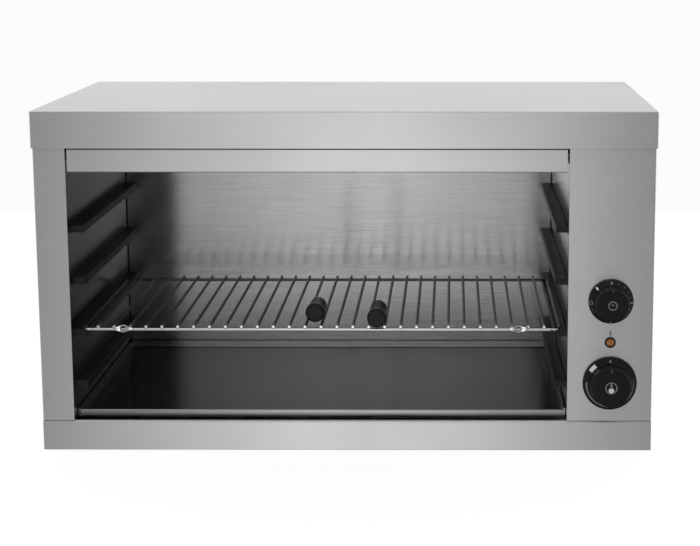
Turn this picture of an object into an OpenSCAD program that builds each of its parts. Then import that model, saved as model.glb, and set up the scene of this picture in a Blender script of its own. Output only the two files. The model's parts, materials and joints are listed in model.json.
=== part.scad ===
// Electric salamander grill: an open-fronted stainless toaster oven with a sliding wire rack.
// X runs across the front, -Y is the front, Z is up, and the origin is under the middle.

/* [Casing] */
// Width of the hood
hood_w = 755; // [740:1:780]
// Depth of the hood
hood_d = 385; // [380:1:400]
// Height from the surface it stands on to the top of the hood
total_h = 427; // [425:1:432]
// Height of the hood's folded edge
hood_flange = 45; // [38:1:46]
// How far the hood stands out past each side panel
hood_overhang = 1.5; // [1.5:0.1:2.5]
// How far the front of the body is set back from the hood
front_setback = 3; // [2:0.5:6]
// Thickness of the casing sheet
sheet = 1.0; // [0.8:0.1:1.2]
// Gap under the casing, taken up by the feet
ground_gap = 4.5; // [3:0.5:6]

/* [Front] */
// Width of the left pillar beside the opening
pillar_w = 39; // [36:1:42]
// Width of the control panel
control_w = 104.5; // [100:0.5:110]
// Height of the bottom rail
bottom_rail_h = 38; // [34:1:40]
// Height of the opening's upper edge
opening_top = 352.4; // [350:0.1:353]
// Gap at each end of the upper rail
rail_gap = 2.4; // [1.5:0.1:4]

/* [Oven] */
// Distance from the hood's front face to the oven's back wall
oven_depth = 360; // [355:1:364]
// Height of the reflector above the heating elements
reflector_z = 374; // [372:1:378]
// Height of the first runner's top face
runner_top = 284.5; // [283:0.5:290]
// Distance from one runner to the next
runner_pitch = 65.1; // [62:0.1:66]
// How far a runner stands out from the wall
runner_w = 15; // [12:0.5:16]
// Height of a runner
runner_h = 9.5; // [8:0.5:10]

/* [Rack] */
// Diameter of the frame wires
frame_wire = 4; // [3:0.5:5]
// Diameter of the cross wires
cross_wire = 3.8; // [2.6:0.2:4]
// Distance between the side wires
rack_w = 586.6; // [584:0.1:590]
// Distance between the front and back wires
rack_d = 286; // [270:1:290]
// Number of cross wires
cross_count = 29; // [25:1:29]
// How far the rack sits to the right of the oven's middle
rack_shift = 1.8; // [0:0.1:2]

/* [Controls] */
// Height of the timer knob's axis
timer_z = 194.1; // [185:0.1:200]
// Height of the thermostat knob's axis
thermostat_z = 91.1; // [85:0.1:95]
// Height of the pilot lamp
lamp_z = 142.2; // [138:0.1:146]
// Diameter of the timer knob's skirt
timer_skirt = 55; // [50:1:58]
// Diameter of the thermostat knob's skirt
thermostat_skirt = 66.5; // [58:0.5:68]
// How far the timer knob stands out from the panel
timer_reach = 27; // [22:1:30]
// How far the thermostat knob stands out from the panel
thermostat_reach = 25; // [20:1:28]

/* [Hidden] */
$fn = 48;
EPS = 0.01;
body_x = hood_w / 2 - hood_overhang;
hood_y = hood_d / 2;
front_y = -hood_y + front_setback;
back_y = -front_y;
body_z = ground_gap;
body_top = total_h - sheet - 2;
flange = 15;
oven_left = -body_x + pillar_w;
oven_right = body_x - control_w;
oven_mid = (oven_left + oven_right) / 2;
oven_back = -hood_y + oven_depth;
rail_top = body_z + bottom_rail_h;
liner_top = reflector_z + 16;
control_x = oven_right + control_w / 2;
floor_front = front_y + 16;

// Crumb tray
tray_sheet = 1;
tray_side_gap = 0.8;
tray_lift = 0.3;
tray_z = rail_top + tray_lift;
tray_front = front_y + 17;
tray_back = oven_back - 2.5;
tray_front_lip = 8.7;
tray_side_lip = 10.5;

// Runners and rack
runner_front = front_y + 14.5;
runner_back = oven_back - 0.5;
rack_gap = 0.3;
rack_level = 3;
rack_z = runner_top - (rack_level - 1) * runner_pitch + frame_wire / 2 + rack_gap;
rack_front = front_y + 6.5;
rack_back = rack_front + rack_d;
rack_corner = 12;
rack_mid = oven_mid + rack_shift;
cross_pitch = rack_w / (cross_count + 1);
cross_z = rack_z + (frame_wire + cross_wire) / 2 - 0.2;
tip_front = rack_front - frame_wire / 2 - 0.5;
tip_back = rack_back + frame_wire / 2 + 2;
eyelet_x = 242.7;
eyelet_w = 24;
eyelet_h = 10;
eyelet_t = 3;
eyelet_hole = 6.6;

// Loose handle grips: distances along the grip's own axis from its front face
grip_disc_r = 11.9;
grip_disc_len = 8;
grip_neck_r = 10.8;
grip_tail_r = 10.2;
grip_end_r = 6.5;
grip_len = 62;
ferrule_r = 11.5;
ferrule_len = 1.6;
stud_r = 3;
stud_len = 28;
// A grip lies on two neighbouring cross wires, and its thin end lies lower than its disc
function rest_height(r) = sqrt(pow(r + cross_wire / 2 + rack_gap, 2) - pow(cross_pitch / 2, 2));
grip_drop = rest_height(grip_disc_r) - rest_height(grip_tail_r);
grip_tilt = atan(grip_drop / (grip_len - grip_disc_len));
grip_front_z = cross_z + rest_height(grip_disc_r) + grip_disc_len * tan(grip_tilt) + 0.2;
// Gap between cross wires that each grip lies in, counted from the left side wire
left_gap = 14;
right_gap = 18;
left_grip_y = -157;
right_grip_y = -188;
// The right grip's disc rests on the rack's front wire, so it lies a little higher and level
right_grip_lift = 0.4;

// Heating elements: hairpins that run across the oven under the reflector
element_r = 4;
element_z = 360;
element_bend = 25;
element_mid = [-110, -10, 90];
element_left = oven_left + 42;
element_end = oven_right + 28;
pin_r = 2;
pin_len = 12;
bush_neck_r = 6;
bush_flange_r = 8;
bracket_x = [oven_left + 130, oven_right - 145];
bulb_y = 40;
bulb_z = 367;
bulb_r = 3;
bulb_x = [oven_right - 122, oven_right - 32];
capillary_r = 1;

// Controls
spindle_r = 3;
running_gap = 0.05;
knob_gap = 0.6;
knob_recess = 4;
timer_case = [48, 38, 46];
thermostat_case = [44, 33, 40];
fixing_x = 14;
lens_r = 4.8;
bezel_r = 6.8;
lamp_hole_r = 5;

// Mains inlet and earth stud, low on the back behind the controls
inlet_x = control_x + 8;
inlet_z = 48;
cord_r = 4.6;
gland_thread_r = 10;
gland_reach = timer_reach;
earth_x = control_x - 30;
earth_r = 3;
earth_root_r = 3.2;

foot_x = body_x - 46;
foot_y = back_y - 40;
foot_r = 18;
foot_h = body_z + sheet;
screw_r = 2;
screw_head_r = 3.6;
screw_head_h = 2;
screw_hole_r = 2.2;
side_screw_z = [70, 215, 350];
hood_screw_x = [-300, 0, 300];
hood_screw_z = total_h - hood_flange / 2;
base_screw_x = [-280, -95, 95];

STEEL = [0.72, 0.72, 0.71];
POLISHED = [0.80, 0.80, 0.79];
CHROME = [0.86, 0.86, 0.87];
BLACK = [0.05, 0.05, 0.05];
CERAMIC = [0.90, 0.88, 0.82];

// Helpers --------------------------------------------------------------

// A block between two corners
module block(low, high) {
    translate(low) cube(high - low);
}

// A round bar along Y, from y0 to y1
module bar_y(x, z, r, y0, y1) {
    translate([x, y0, z]) rotate([-90, 0, 0]) cylinder(r = r, h = y1 - y0);
}

// A round bar along X, from x0 to x1
module bar_x(y, z, r, x0, x1) {
    translate([x0, y, z]) rotate([0, 90, 0]) cylinder(r = r, h = x1 - x0);
}

// A hexagonal prism along Y, measured across its flats
module hex_y(x, z, flats, y0, y1) {
    translate([x, y0, z]) rotate([-90, 0, 0]) cylinder(d = flats / cos(30), h = y1 - y0, $fn = 6);
}

// A round wire through a list of points
module wire(points, r) {
    for (i = [0 : len(points) - 2]) {
        step = points[i + 1] - points[i];
        translate(points[i])
            rotate([0, acos(step[2] / norm(step)), atan2(step[1], step[0])])
                cylinder(r = r, h = norm(step), $fn = 16);
    }
    for (i = [1 : len(points) - 2]) translate(points[i]) sphere(r = r * 1.15, $fn = 16);
}

// A square-section loom through a list of points, each run parallel to an axis
module loom(points, r) {
    half = [r, r, r];
    for (i = [0 : len(points) - 2]) {
        low = [for (k = [0 : 2]) min(points[i][k], points[i + 1][k])];
        high = [for (k = [0 : 2]) max(points[i][k], points[i + 1][k])];
        block(low - half, high + half);
    }
}

// Casing ---------------------------------------------------------------

module hood() {
    inner_x = hood_w / 2 - sheet;
    inner_y = hood_y - sheet;
    color(STEEL) difference() {
        block([-hood_w / 2, -hood_y, total_h - hood_flange], [hood_w / 2, hood_y, total_h]);
        block([-inner_x, -inner_y, total_h - hood_flange - 1], [inner_x, inner_y, total_h - sheet]);
        for (x = hood_screw_x) bar_y(x, hood_screw_z, screw_hole_r, hood_y - 2 * sheet, hood_y + 1);
    }
}

// Side sheet with a flange along its back edge; side is -1 for left and 1 for right
module side_sheet(side) {
    difference() {
        union() {
            block([body_x - sheet, front_y + sheet, body_z], [body_x, back_y - sheet, body_top]);
            block([body_x - flange, back_y - 2 * sheet, rail_top],
                  [body_x - sheet + EPS, back_y - sheet, body_top]);
        }
        for (z = side_screw_z)
            bar_y(body_x - flange / 2, z, screw_hole_r, back_y - 3 * sheet, back_y);
    }
}

module left_side_panel() {
    color(STEEL) {
        mirror([1, 0, 0]) side_sheet();
        block([-body_x, front_y, rail_top], [oven_left, front_y + sheet, body_top]);
        block([-body_x, front_y, rail_top], [-body_x + sheet, front_y + 2 * sheet, body_top]);
    }
}

module right_side_panel() {
    color(STEEL) side_sheet();
}

module control_panel() {
    color(STEEL) difference() {
        union() {
            block([oven_right, front_y, rail_top], [body_x, front_y + sheet, body_top]);
            block([body_x - 2 * sheet, front_y + sheet - EPS, rail_top],
                  [body_x - sheet, front_y + flange, body_top]);
        }
        for (z = [timer_z, thermostat_z]) {
            bar_y(control_x, z, 4.5, front_y - 1, front_y + 2 * sheet);
            for (side = [-1, 1])
                bar_y(control_x + side * fixing_x, z, screw_hole_r, front_y - 1, front_y + 2 * sheet);
        }
        bar_y(control_x, lamp_z, lamp_hole_r, front_y - 1, front_y + 2 * sheet);
    }
}

module back_panel() {
    slot_w = 4;
    slot_h = 42;
    color(STEEL) difference() {
        block([-body_x, back_y - sheet, body_z + sheet], [body_x, back_y, body_top]);
        for (side = [-1, 1], z = side_screw_z)
            bar_y(side * (body_x - flange / 2), z, screw_hole_r, back_y - 2 * sheet, back_y + 1);
        for (x = hood_screw_x) bar_y(x, hood_screw_z, screw_hole_r, back_y - 2 * sheet, back_y + 1);
        for (x = base_screw_x)
            bar_y(x, body_z + flange, screw_hole_r, back_y - 2 * sheet, back_y + 1);
        bar_y(inlet_x, inlet_z, gland_thread_r + 0.2, back_y - 2 * sheet, back_y + 1);
        bar_y(earth_x, inlet_z, earth_root_r + 0.2, back_y - 2 * sheet, back_y + 1);
        // Cooling slots for the control housing
        for (row = [0, 1], i = [-3 : 3])
            translate([control_x + i * 11 - slot_w / 2, back_y - 2 * sheet, 150 + row * 90])
                cube([slot_w, 3 * sheet, slot_h]);
    }
}

module base_pan() {
    low = body_z + sheet;
    color(STEEL) difference() {
        union() {
            block([-body_x + sheet, front_y + sheet, low], [body_x - sheet, back_y - sheet, low + sheet]);
            for (side = [-1, 1])
                translate([side * (body_x - 1.5 * sheet), 0, low + flange / 2])
                    cube([sheet, 2 * back_y - 6 * sheet, flange], center = true);
            block([-body_x + 2 * sheet, back_y - 2 * sheet, low],
                  [body_x - 2 * sheet, back_y - sheet, low + flange + 8]);
        }
        for (x = [-foot_x, foot_x], y = [-foot_y, foot_y])
            translate([x, y, low - 1]) cylinder(r = 2.7, h = 3 * sheet);
        for (x = base_screw_x)
            bar_y(x, body_z + flange, screw_hole_r, back_y - 3 * sheet, back_y);
    }
}

module bottom_front_rail() {
    bend = 3;
    color(STEEL) {
        block([-body_x, front_y, body_z], [body_x, front_y + sheet, rail_top - bend]);
        block([-body_x + sheet, front_y + sheet - EPS, body_z],
              [body_x - sheet, front_y + flange, body_z + sheet]);
        block([-body_x + sheet, front_y + bend, rail_top - sheet],
              [body_x - sheet, floor_front, rail_top]);
        // Rounded fold along the top edge
        translate([-body_x, front_y + bend, rail_top - bend]) rotate([90, 0, 90])
            linear_extrude(2 * body_x) intersection() {
                difference() {
                    circle(r = bend);
                    circle(r = bend - sheet);
                }
                translate([-bend, 0]) square(bend);
            }
    }
}

module upper_front_rail() {
    left = oven_left + rail_gap;
    right = oven_right - rail_gap;
    color(STEEL) {
        block([left, front_y, opening_top], [right, front_y + sheet, body_top - 8]);
        block([left, front_y + sheet - EPS, opening_top], [right, front_y + 13, opening_top + sheet]);
    }
}

// Oven liner -----------------------------------------------------------

// Side wall with a flange behind the front panel; wall_x is the oven face and side points outwards
module side_wall(wall_x, side) {
    x0 = min(wall_x, wall_x + side * sheet);
    f0 = min(wall_x, wall_x + side * flange);
    front = front_y + sheet;
    block([x0, front, rail_top], [x0 + sheet, oven_back, liner_top]);
    block([f0, front, rail_top], [f0 + flange, front + sheet, liner_top]);
}

module left_liner() {
    color(POLISHED) side_wall(oven_left, -1);
}

module right_liner() {
    color(POLISHED) difference() {
        side_wall(oven_right, 1);
        for (y = element_mid, leg = [-1, 1])
            bar_x(y + leg * element_bend, element_z, bush_neck_r + 0.2, oven_right - 1, oven_right + 2);
        bar_x(bulb_y, bulb_z, capillary_r + 0.7, oven_right - 1, oven_right + 2);
    }
}

module back_liner() {
    color(POLISHED)
        block([oven_left - sheet, oven_back, rail_top],
              [oven_right + sheet, oven_back + sheet, liner_top]);
}

module floor_liner() {
    color(POLISHED)
        block([oven_left - sheet, floor_front, rail_top - sheet],
              [oven_right + sheet, oven_back + sheet, rail_top]);
}

module ceiling_reflector() {
    front = front_y + sheet;
    color(POLISHED) {
        block([oven_left, front + sheet, reflector_z], [oven_right, oven_back, reflector_z + sheet]);
        block([oven_left + rail_gap, front, reflector_z], [oven_right - rail_gap, front + sheet, liner_top]);
    }
}

// Crumb tray, runners and rack ------------------------------------------

module crumb_tray() {
    x0 = oven_left + tray_side_gap;
    x1 = oven_right - tray_side_gap;
    color(POLISHED) {
        block([x0, tray_front, tray_z], [x1, tray_back, tray_z + tray_sheet]);
        block([x0, tray_front, tray_z], [x1, tray_front + tray_sheet, tray_z + tray_front_lip]);
        block([x0, tray_back - tray_sheet, tray_z], [x1, tray_back, tray_z + tray_side_lip]);
        for (x = [x0, x1 - tray_sheet])
            block([x, tray_front + tray_sheet - EPS, tray_z],
                  [x + tray_sheet, tray_back - tray_sheet + EPS, tray_z + tray_side_lip]);
    }
}

// Channel that opens downwards, fixed to one wall; side is -1 for left and 1 for right
module runner(level, side) {
    top = runner_top - (level - 1) * runner_pitch;
    wall = side < 0 ? oven_left : oven_right - runner_w;
    color(BLACK) difference() {
        block([wall, runner_front, top - runner_h], [wall + runner_w, runner_back, top]);
        block([wall + sheet, runner_front - 1, top - runner_h - 1],
              [wall + runner_w - sheet, runner_back + 1, top - sheet]);
    }
}

module rack_end_wire(y) {
    half = rack_w / 2 - rack_corner;
    color(CHROME) bar_x(y, rack_z, frame_wire / 2, rack_mid - half, rack_mid + half);
}

// Side wire with its two bent corners; side is -1 for left and 1 for right
module rack_side_wire(side) {
    color(CHROME) {
        bar_y(rack_mid + side * rack_w / 2, rack_z, frame_wire / 2,
              rack_front + rack_corner, rack_back - rack_corner);
        for (end = [0, 1])
            translate([rack_mid + side * (rack_w / 2 - rack_corner),
                       end == 0 ? rack_front + rack_corner : rack_back - rack_corner, rack_z])
                rotate([0, 0, side < 0 ? 180 - 90 * end : 270 + 90 * end])
                    rotate_extrude(angle = 90)
                        translate([rack_corner, 0]) circle(r = frame_wire / 2, $fn = 32);
    }
}

module rack_cross_wires() {
    color(CHROME) for (i = [1 : cross_count])
        bar_y(rack_mid - rack_w / 2 + i * cross_pitch, cross_z, cross_wire / 2, tip_front, tip_back);
}

module rack_eyelets() {
    color(CHROME) for (side = [-1, 1])
        translate([rack_mid + side * eyelet_x, tip_front, rack_z + 2]) rotate([90, 0, 0])
            difference() {
                linear_extrude(eyelet_t) {
                    square([eyelet_w - eyelet_h, eyelet_h], center = true);
                    for (end = [-1, 1]) translate([end * (eyelet_w - eyelet_h) / 2, 0]) circle(d = eyelet_h);
                }
                translate([0, 0, -1]) cylinder(d = eyelet_hole, h = eyelet_t + 2);
            }
}

// Puts a grip's own axis, which points to its thin end, into the gap between two cross wires
module place_grip(gap, front, lift, tilt) {
    translate([rack_mid - rack_w / 2 + (gap + 0.5) * cross_pitch, front, grip_front_z + lift])
        rotate([-90 - tilt, 0, 0]) children();
}

module on_left() {
    place_grip(left_gap, left_grip_y, 0, grip_tilt) children();
}

module on_right() {
    place_grip(right_gap, right_grip_y, right_grip_lift, 0) children();
}

module grip_shell() {
    groove = grip_disc_len + ferrule_len;
    color(BLACK) rotate_extrude() polygon([
        [0, 0], [grip_disc_r - 2.5, 0], [grip_disc_r - 0.7, 0.7], [grip_disc_r, 2.5],
        [grip_disc_r, grip_disc_len], [grip_neck_r - 0.6, grip_disc_len], [grip_neck_r - 0.6, groove],
        [grip_neck_r, groove], [grip_tail_r, grip_len - 6], [grip_tail_r - 1, grip_len - 2.5],
        [grip_end_r, grip_len], [0, grip_len]
    ]);
}

module grip_ferrule() {
    color(CHROME) translate([0, 0, grip_disc_len]) difference() {
        cylinder(r = ferrule_r, h = ferrule_len);
        translate([0, 0, -1]) cylinder(r = grip_neck_r - 0.6, h = ferrule_len + 2);
    }
}

module grip_stud() {
    color(CHROME) translate([0, 0, grip_len]) cylinder(r = stud_r, h = stud_len);
}

// Heating --------------------------------------------------------------

module heating_element(mid) {
    color([0.35, 0.34, 0.33]) {
        for (leg = [-1, 1]) {
            bar_x(mid + leg * element_bend, element_z, element_r, element_left, element_end);
            bar_x(mid + leg * element_bend, element_z, pin_r, element_end - EPS, element_end + pin_len);
        }
        translate([element_left, mid, element_z]) rotate([0, 0, 90]) rotate_extrude(angle = 180)
            translate([element_bend, 0]) circle(r = element_r);
    }
}

module element_bushes() {
    color(CERAMIC) for (y = element_mid, leg = [-1, 1])
        difference() {
            union() {
                bar_x(y + leg * element_bend, element_z, bush_neck_r, oven_right - 2, oven_right + sheet);
                bar_x(y + leg * element_bend, element_z, bush_flange_r,
                      oven_right + sheet, oven_right + sheet + 5);
            }
            bar_x(y + leg * element_bend, element_z, element_r + 0.3, oven_right - 3, oven_right + 10);
        }
}

module element_brackets() {
    color(STEEL) for (x = bracket_x) difference() {
        block([x, element_mid[0] - 40, element_z - 6], [x + sheet, element_mid[2] + 40, reflector_z]);
        for (y = element_mid, leg = [-1, 1])
            bar_x(y + leg * element_bend, element_z, element_r + 0.3, x - 1, x + 2 * sheet);
    }
}

module thermostat_bulb() {
    drop_x = oven_right + 18;
    drop_z = thermostat_z + 9;
    turn_y = front_y + sheet + thermostat_case[1] + 10;
    entry_x = control_x - 14;
    color([0.78, 0.48, 0.32]) {
        bar_x(bulb_y, bulb_z, bulb_r, bulb_x[0], bulb_x[1]);
        wire([[bulb_x[1] - EPS, bulb_y, bulb_z], [drop_x, bulb_y, bulb_z], [drop_x, bulb_y, drop_z],
              [drop_x, turn_y, drop_z], [entry_x, turn_y, drop_z], [entry_x, turn_y - 10, drop_z]],
             capillary_r);
    }
}

module bulb_clips() {
    color(STEEL) for (x = [bulb_x[0] + 15, bulb_x[1] - 15]) difference() {
        block([x, bulb_y - 5, bulb_z - 5], [x + sheet, bulb_y + 5, reflector_z]);
        bar_x(bulb_y, bulb_z, bulb_r + 0.2, x - 1, x + 2 * sheet);
    }
}

// Controls -------------------------------------------------------------

// Case of a rotary control behind the panel, with spade terminals on its back
module control_case(size, z) {
    front = front_y + sheet;
    difference() {
        block([control_x - size[0] / 2, front, z - size[2] / 2],
              [control_x + size[0] / 2, front + size[1], z + size[2] / 2]);
        bar_y(control_x, z, spindle_r + running_gap, front - 1, front + 18);
        for (side = [-1, 1])
            bar_y(control_x + side * fixing_x, z, screw_hole_r, front - 1, front + 8);
    }
    for (side = [-1, 1])
        block([control_x + side * 8 - 0.4, front + size[1] - EPS, z - 10],
              [control_x + side * 8 + 0.4, front + size[1] + 8, z - 3.7]);
}

module timer_body() {
    color([0.85, 0.85, 0.82]) control_case(timer_case, timer_z);
}

module thermostat_body() {
    color([0.30, 0.28, 0.26]) control_case(thermostat_case, thermostat_z);
}

module spindle(z, reach) {
    color(CHROME) bar_y(control_x, z, spindle_r, front_y - reach + 8, front_y + sheet + 16);
}

// Knob turned about its spindle: a dished skirt, a step and a tall cap, hollow at the back
module knob(z, skirt_d, reach) {
    skirt_r = skirt_d / 2;
    cap_r = skirt_r * 0.765;
    top = reach - knob_gap;
    color(BLACK) translate([control_x, front_y - knob_gap, z]) rotate([90, 0, 0]) difference() {
        rotate_extrude($fn = 96) polygon([
            [0, 0], [skirt_r - 0.6, 0], [skirt_r, 0.8], [skirt_r, 2.2], [skirt_r - 0.8, 3.2],
            [cap_r + 1, 7], [cap_r + 0.2, 8.4], [cap_r - 0.8, top - 2.4], [cap_r - 1.5, top - 0.8],
            [cap_r - 3.2, top], [0, top]
        ]);
        translate([0, 0, -1]) cylinder(r = cap_r - 2, h = knob_recess + 1);
        translate([0, 0, -1]) cylinder(r = spindle_r, h = reach - 8 - knob_gap + 1);
    }
}

module neon_lens() {
    color([0.95, 0.45, 0.10]) translate([control_x, front_y, lamp_z]) rotate([90, 0, 0])
        rotate_extrude() polygon([
            [0, 0], [lens_r, 0], [lens_r, 1.8], [lens_r - 0.6, 2.6], [lens_r - 2, 3.2], [0, 3.6]
        ]);
}

module neon_bezel() {
    color(BLACK) translate([control_x, front_y, lamp_z]) rotate([90, 0, 0])
        rotate_extrude() polygon([
            [lens_r + 0.1, 0], [bezel_r, 0], [bezel_r, 1], [bezel_r - 0.7, 1.8], [lens_r + 0.1, 1.8]
        ]);
}

module neon_body() {
    color([0.80, 0.78, 0.74]) {
        bar_y(control_x, lamp_z, lens_r, front_y, front_y + 26);
        difference() {
            bar_y(control_x, lamp_z, 7.5, front_y + sheet, front_y + sheet + 3);
            bar_y(control_x, lamp_z, lens_r - EPS, front_y, front_y + 5);
        }
    }
}

// Inlet and wiring -----------------------------------------------------

module terminal_block() {
    color([0.92, 0.90, 0.85]) difference() {
        block([control_x - 26, back_y - 40, 92], [control_x + 26, back_y - sheet, 112]);
        for (i = [-1, 0, 1])
            translate([control_x + i * 16, back_y - 30, 106]) cylinder(r = 3, h = 10);
    }
}

module cable_gland() {
    color(BLACK) difference() {
        union() {
            bar_y(inlet_x, inlet_z, gland_thread_r, back_y - 12, back_y + EPS);
            hex_y(inlet_x, inlet_z, 25, back_y, back_y + 8);
        }
        bar_y(inlet_x, inlet_z, cord_r, back_y - 13, back_y + 9);
    }
}

module gland_cap() {
    color(BLACK) translate([inlet_x, back_y + 8, inlet_z]) rotate([-90, 0, 0]) rotate_extrude()
        polygon([[cord_r, 0], [11.5, 0], [11.5, gland_reach - 14], [9.5, gland_reach - 10],
                 [cord_r + 1.5, gland_reach - 8], [cord_r, gland_reach - 8]]);
}

module gland_locknut() {
    color(BLACK) difference() {
        hex_y(inlet_x, inlet_z, 26, back_y - sheet - 5, back_y - sheet);
        bar_y(inlet_x, inlet_z, gland_thread_r, back_y - 10, back_y);
    }
}

module earth_stud() {
    color(CHROME) {
        bar_y(earth_x, inlet_z, earth_root_r, back_y - 14, back_y + 5);
        bar_y(earth_x, inlet_z, earth_r, back_y + 5 - EPS, back_y + 20);
    }
}

module earth_nuts() {
    color(CHROME) for (y = [back_y - sheet - 5, back_y]) difference() {
        hex_y(earth_x, inlet_z, 10, y, y + 5);
        bar_y(earth_x, inlet_z, earth_root_r, y - 1, y + 6);
    }
}

module wiring_harness() {
    wire_r = 1.6;
    lane_x = body_x - 14;
    rear_y = back_y - 46;
    timer_tab = front_y + sheet + timer_case[1] + 11;
    thermostat_tab = front_y + sheet + thermostat_case[1] + 11;
    element_y = element_mid[0] - element_bend;
    feed_x = element_end + pin_len + 3;
    color([0.55, 0.12, 0.10]) {
        loom([[control_x + 16, rear_y, 100], [lane_x, rear_y, 100], [lane_x, rear_y, timer_z - 6],
              [lane_x, timer_tab + 5, timer_z - 6], [control_x + 8, timer_tab + 5, timer_z - 6],
              [control_x + 8, timer_tab, timer_z - 6]], wire_r);
        loom([[control_x - 8, timer_tab, timer_z - 6], [control_x - 8, timer_tab + 8, timer_z - 6],
              [control_x - 8, timer_tab + 8, thermostat_z - 7],
              [control_x - 8, thermostat_tab, thermostat_z - 7]], wire_r);
        loom([[control_x + 8, thermostat_tab, thermostat_z - 7],
              [control_x + 8, timer_tab + 16, thermostat_z - 7],
              [lane_x - 8, timer_tab + 16, thermostat_z - 7], [lane_x - 8, timer_tab + 16, element_z],
              [lane_x - 8, element_y, element_z], [feed_x, element_y, element_z]], wire_r);
    }
}

// Feet and fasteners ---------------------------------------------------

module rubber_feet() {
    color(BLACK) for (x = [-foot_x, foot_x], y = [-foot_y, foot_y])
        translate([x, y, 0]) difference() {
            rotate_extrude() polygon([[0, 0], [foot_r - 1.5, 0], [foot_r, 1.5], [foot_r, foot_h], [0, foot_h]]);
            translate([0, 0, -1]) cylinder(r = 5.5, h = 4);
            translate([0, 0, -1]) cylinder(r = 2.7, h = foot_h + 2);
        }
}

module foot_screws() {
    color(CHROME) for (x = [-foot_x, foot_x], y = [-foot_y, foot_y]) translate([x, y, 0]) {
        translate([0, 0, 0.8]) cylinder(r = 4.6, h = 2.2);
        cylinder(r = 2.5, h = 16);
        translate([0, 0, foot_h + sheet]) cylinder(d = 8 / cos(30), h = 4, $fn = 6);
    }
}

// Screw with its head outside a face at y; dir is 1 where the head points to the back
module screw(x, z, y, dir) {
    bar_y(x, z, screw_r, dir > 0 ? y - 8 : y - EPS, dir > 0 ? y + EPS : y + 8);
    bar_y(x, z, screw_head_r, dir > 0 ? y : y - screw_head_h, dir > 0 ? y + screw_head_h : y);
}

module casing_screws() {
    color(CHROME) {
        for (side = [-1, 1], z = side_screw_z) screw(side * (body_x - flange / 2), z, back_y, 1);
        for (x = base_screw_x) screw(x, body_z + flange, back_y, 1);
        for (x = hood_screw_x) screw(x, hood_screw_z, hood_y, 1);
        for (side = [-1, 1], z = [timer_z, thermostat_z])
            screw(control_x + side * fixing_x, z, front_y, -1);
    }
}

hood();
left_side_panel();
right_side_panel();
control_panel();
back_panel();
base_pan();
bottom_front_rail();
upper_front_rail();
left_liner();
right_liner();
back_liner();
floor_liner();
ceiling_reflector();
crumb_tray();
runner(1, -1);  // left_runner_1
runner(2, -1);  // left_runner_2
runner(3, -1);  // left_runner_3
runner(4, -1);  // left_runner_4
runner(1, 1);  // right_runner_1
runner(2, 1);  // right_runner_2
runner(3, 1);  // right_runner_3
runner(4, 1);  // right_runner_4
rack_end_wire(rack_front);  // rack_front_wire
rack_end_wire(rack_back);  // rack_back_wire
rack_side_wire(-1);  // rack_left_wire
rack_side_wire(1);  // rack_right_wire
rack_cross_wires();
rack_eyelets();
on_left() grip_shell();  // left_grip
on_left() grip_ferrule();  // left_grip_ferrule
on_left() grip_stud();  // left_grip_stud
on_right() grip_shell();  // right_grip
on_right() grip_ferrule();  // right_grip_ferrule
on_right() grip_stud();  // right_grip_stud
heating_element(element_mid[0]);  // heating_element_1
heating_element(element_mid[1]);  // heating_element_2
heating_element(element_mid[2]);  // heating_element_3
element_bushes();
element_brackets();
timer_body();
spindle(timer_z, timer_reach);  // timer_spindle
knob(timer_z, timer_skirt, timer_reach);  // timer_knob
thermostat_body();
spindle(thermostat_z, thermostat_reach);  // thermostat_spindle
knob(thermostat_z, thermostat_skirt, thermostat_reach);  // thermostat_knob
thermostat_bulb();
bulb_clips();
neon_lens();
neon_bezel();
neon_body();
terminal_block();
cable_gland();
gland_cap();
gland_locknut();
earth_stud();
earth_nuts();
wiring_harness();
rubber_feet();
foot_screws();
casing_screws();
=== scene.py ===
import json
import math
import bmesh
import bpy
from mathutils import Matrix, Vector


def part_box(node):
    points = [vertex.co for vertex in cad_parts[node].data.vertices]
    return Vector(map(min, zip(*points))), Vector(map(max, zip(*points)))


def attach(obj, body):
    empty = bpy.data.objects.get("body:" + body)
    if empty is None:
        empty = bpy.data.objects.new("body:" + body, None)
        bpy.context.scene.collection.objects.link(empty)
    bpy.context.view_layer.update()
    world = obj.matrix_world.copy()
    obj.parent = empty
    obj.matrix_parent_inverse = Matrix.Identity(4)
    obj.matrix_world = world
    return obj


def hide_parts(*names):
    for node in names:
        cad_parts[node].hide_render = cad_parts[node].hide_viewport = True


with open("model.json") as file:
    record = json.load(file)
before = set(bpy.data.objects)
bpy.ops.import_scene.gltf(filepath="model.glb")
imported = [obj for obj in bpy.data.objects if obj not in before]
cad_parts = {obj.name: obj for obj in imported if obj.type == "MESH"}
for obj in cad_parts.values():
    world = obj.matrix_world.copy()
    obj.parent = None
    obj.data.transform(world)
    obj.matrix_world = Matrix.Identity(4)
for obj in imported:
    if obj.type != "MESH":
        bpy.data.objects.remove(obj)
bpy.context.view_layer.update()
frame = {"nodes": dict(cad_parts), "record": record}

# Lengths of pieces are in millimetres; everything is scaled to metres when its mesh is made
mm = 0.001
faceUp, faceFront, faceBack = Vector((0, 0, 1)), Vector((0, -1, 0)), Vector((0, 1, 0))

cameraSetup = {"place": (0.1307, -2.1150, 0.6399), "pitchDown": 9.22, "turnLeft": 0.247,
               "lens": 83.07, "sensor": 36.0, "shiftX": -0.137, "shiftY": -0.114}

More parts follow.
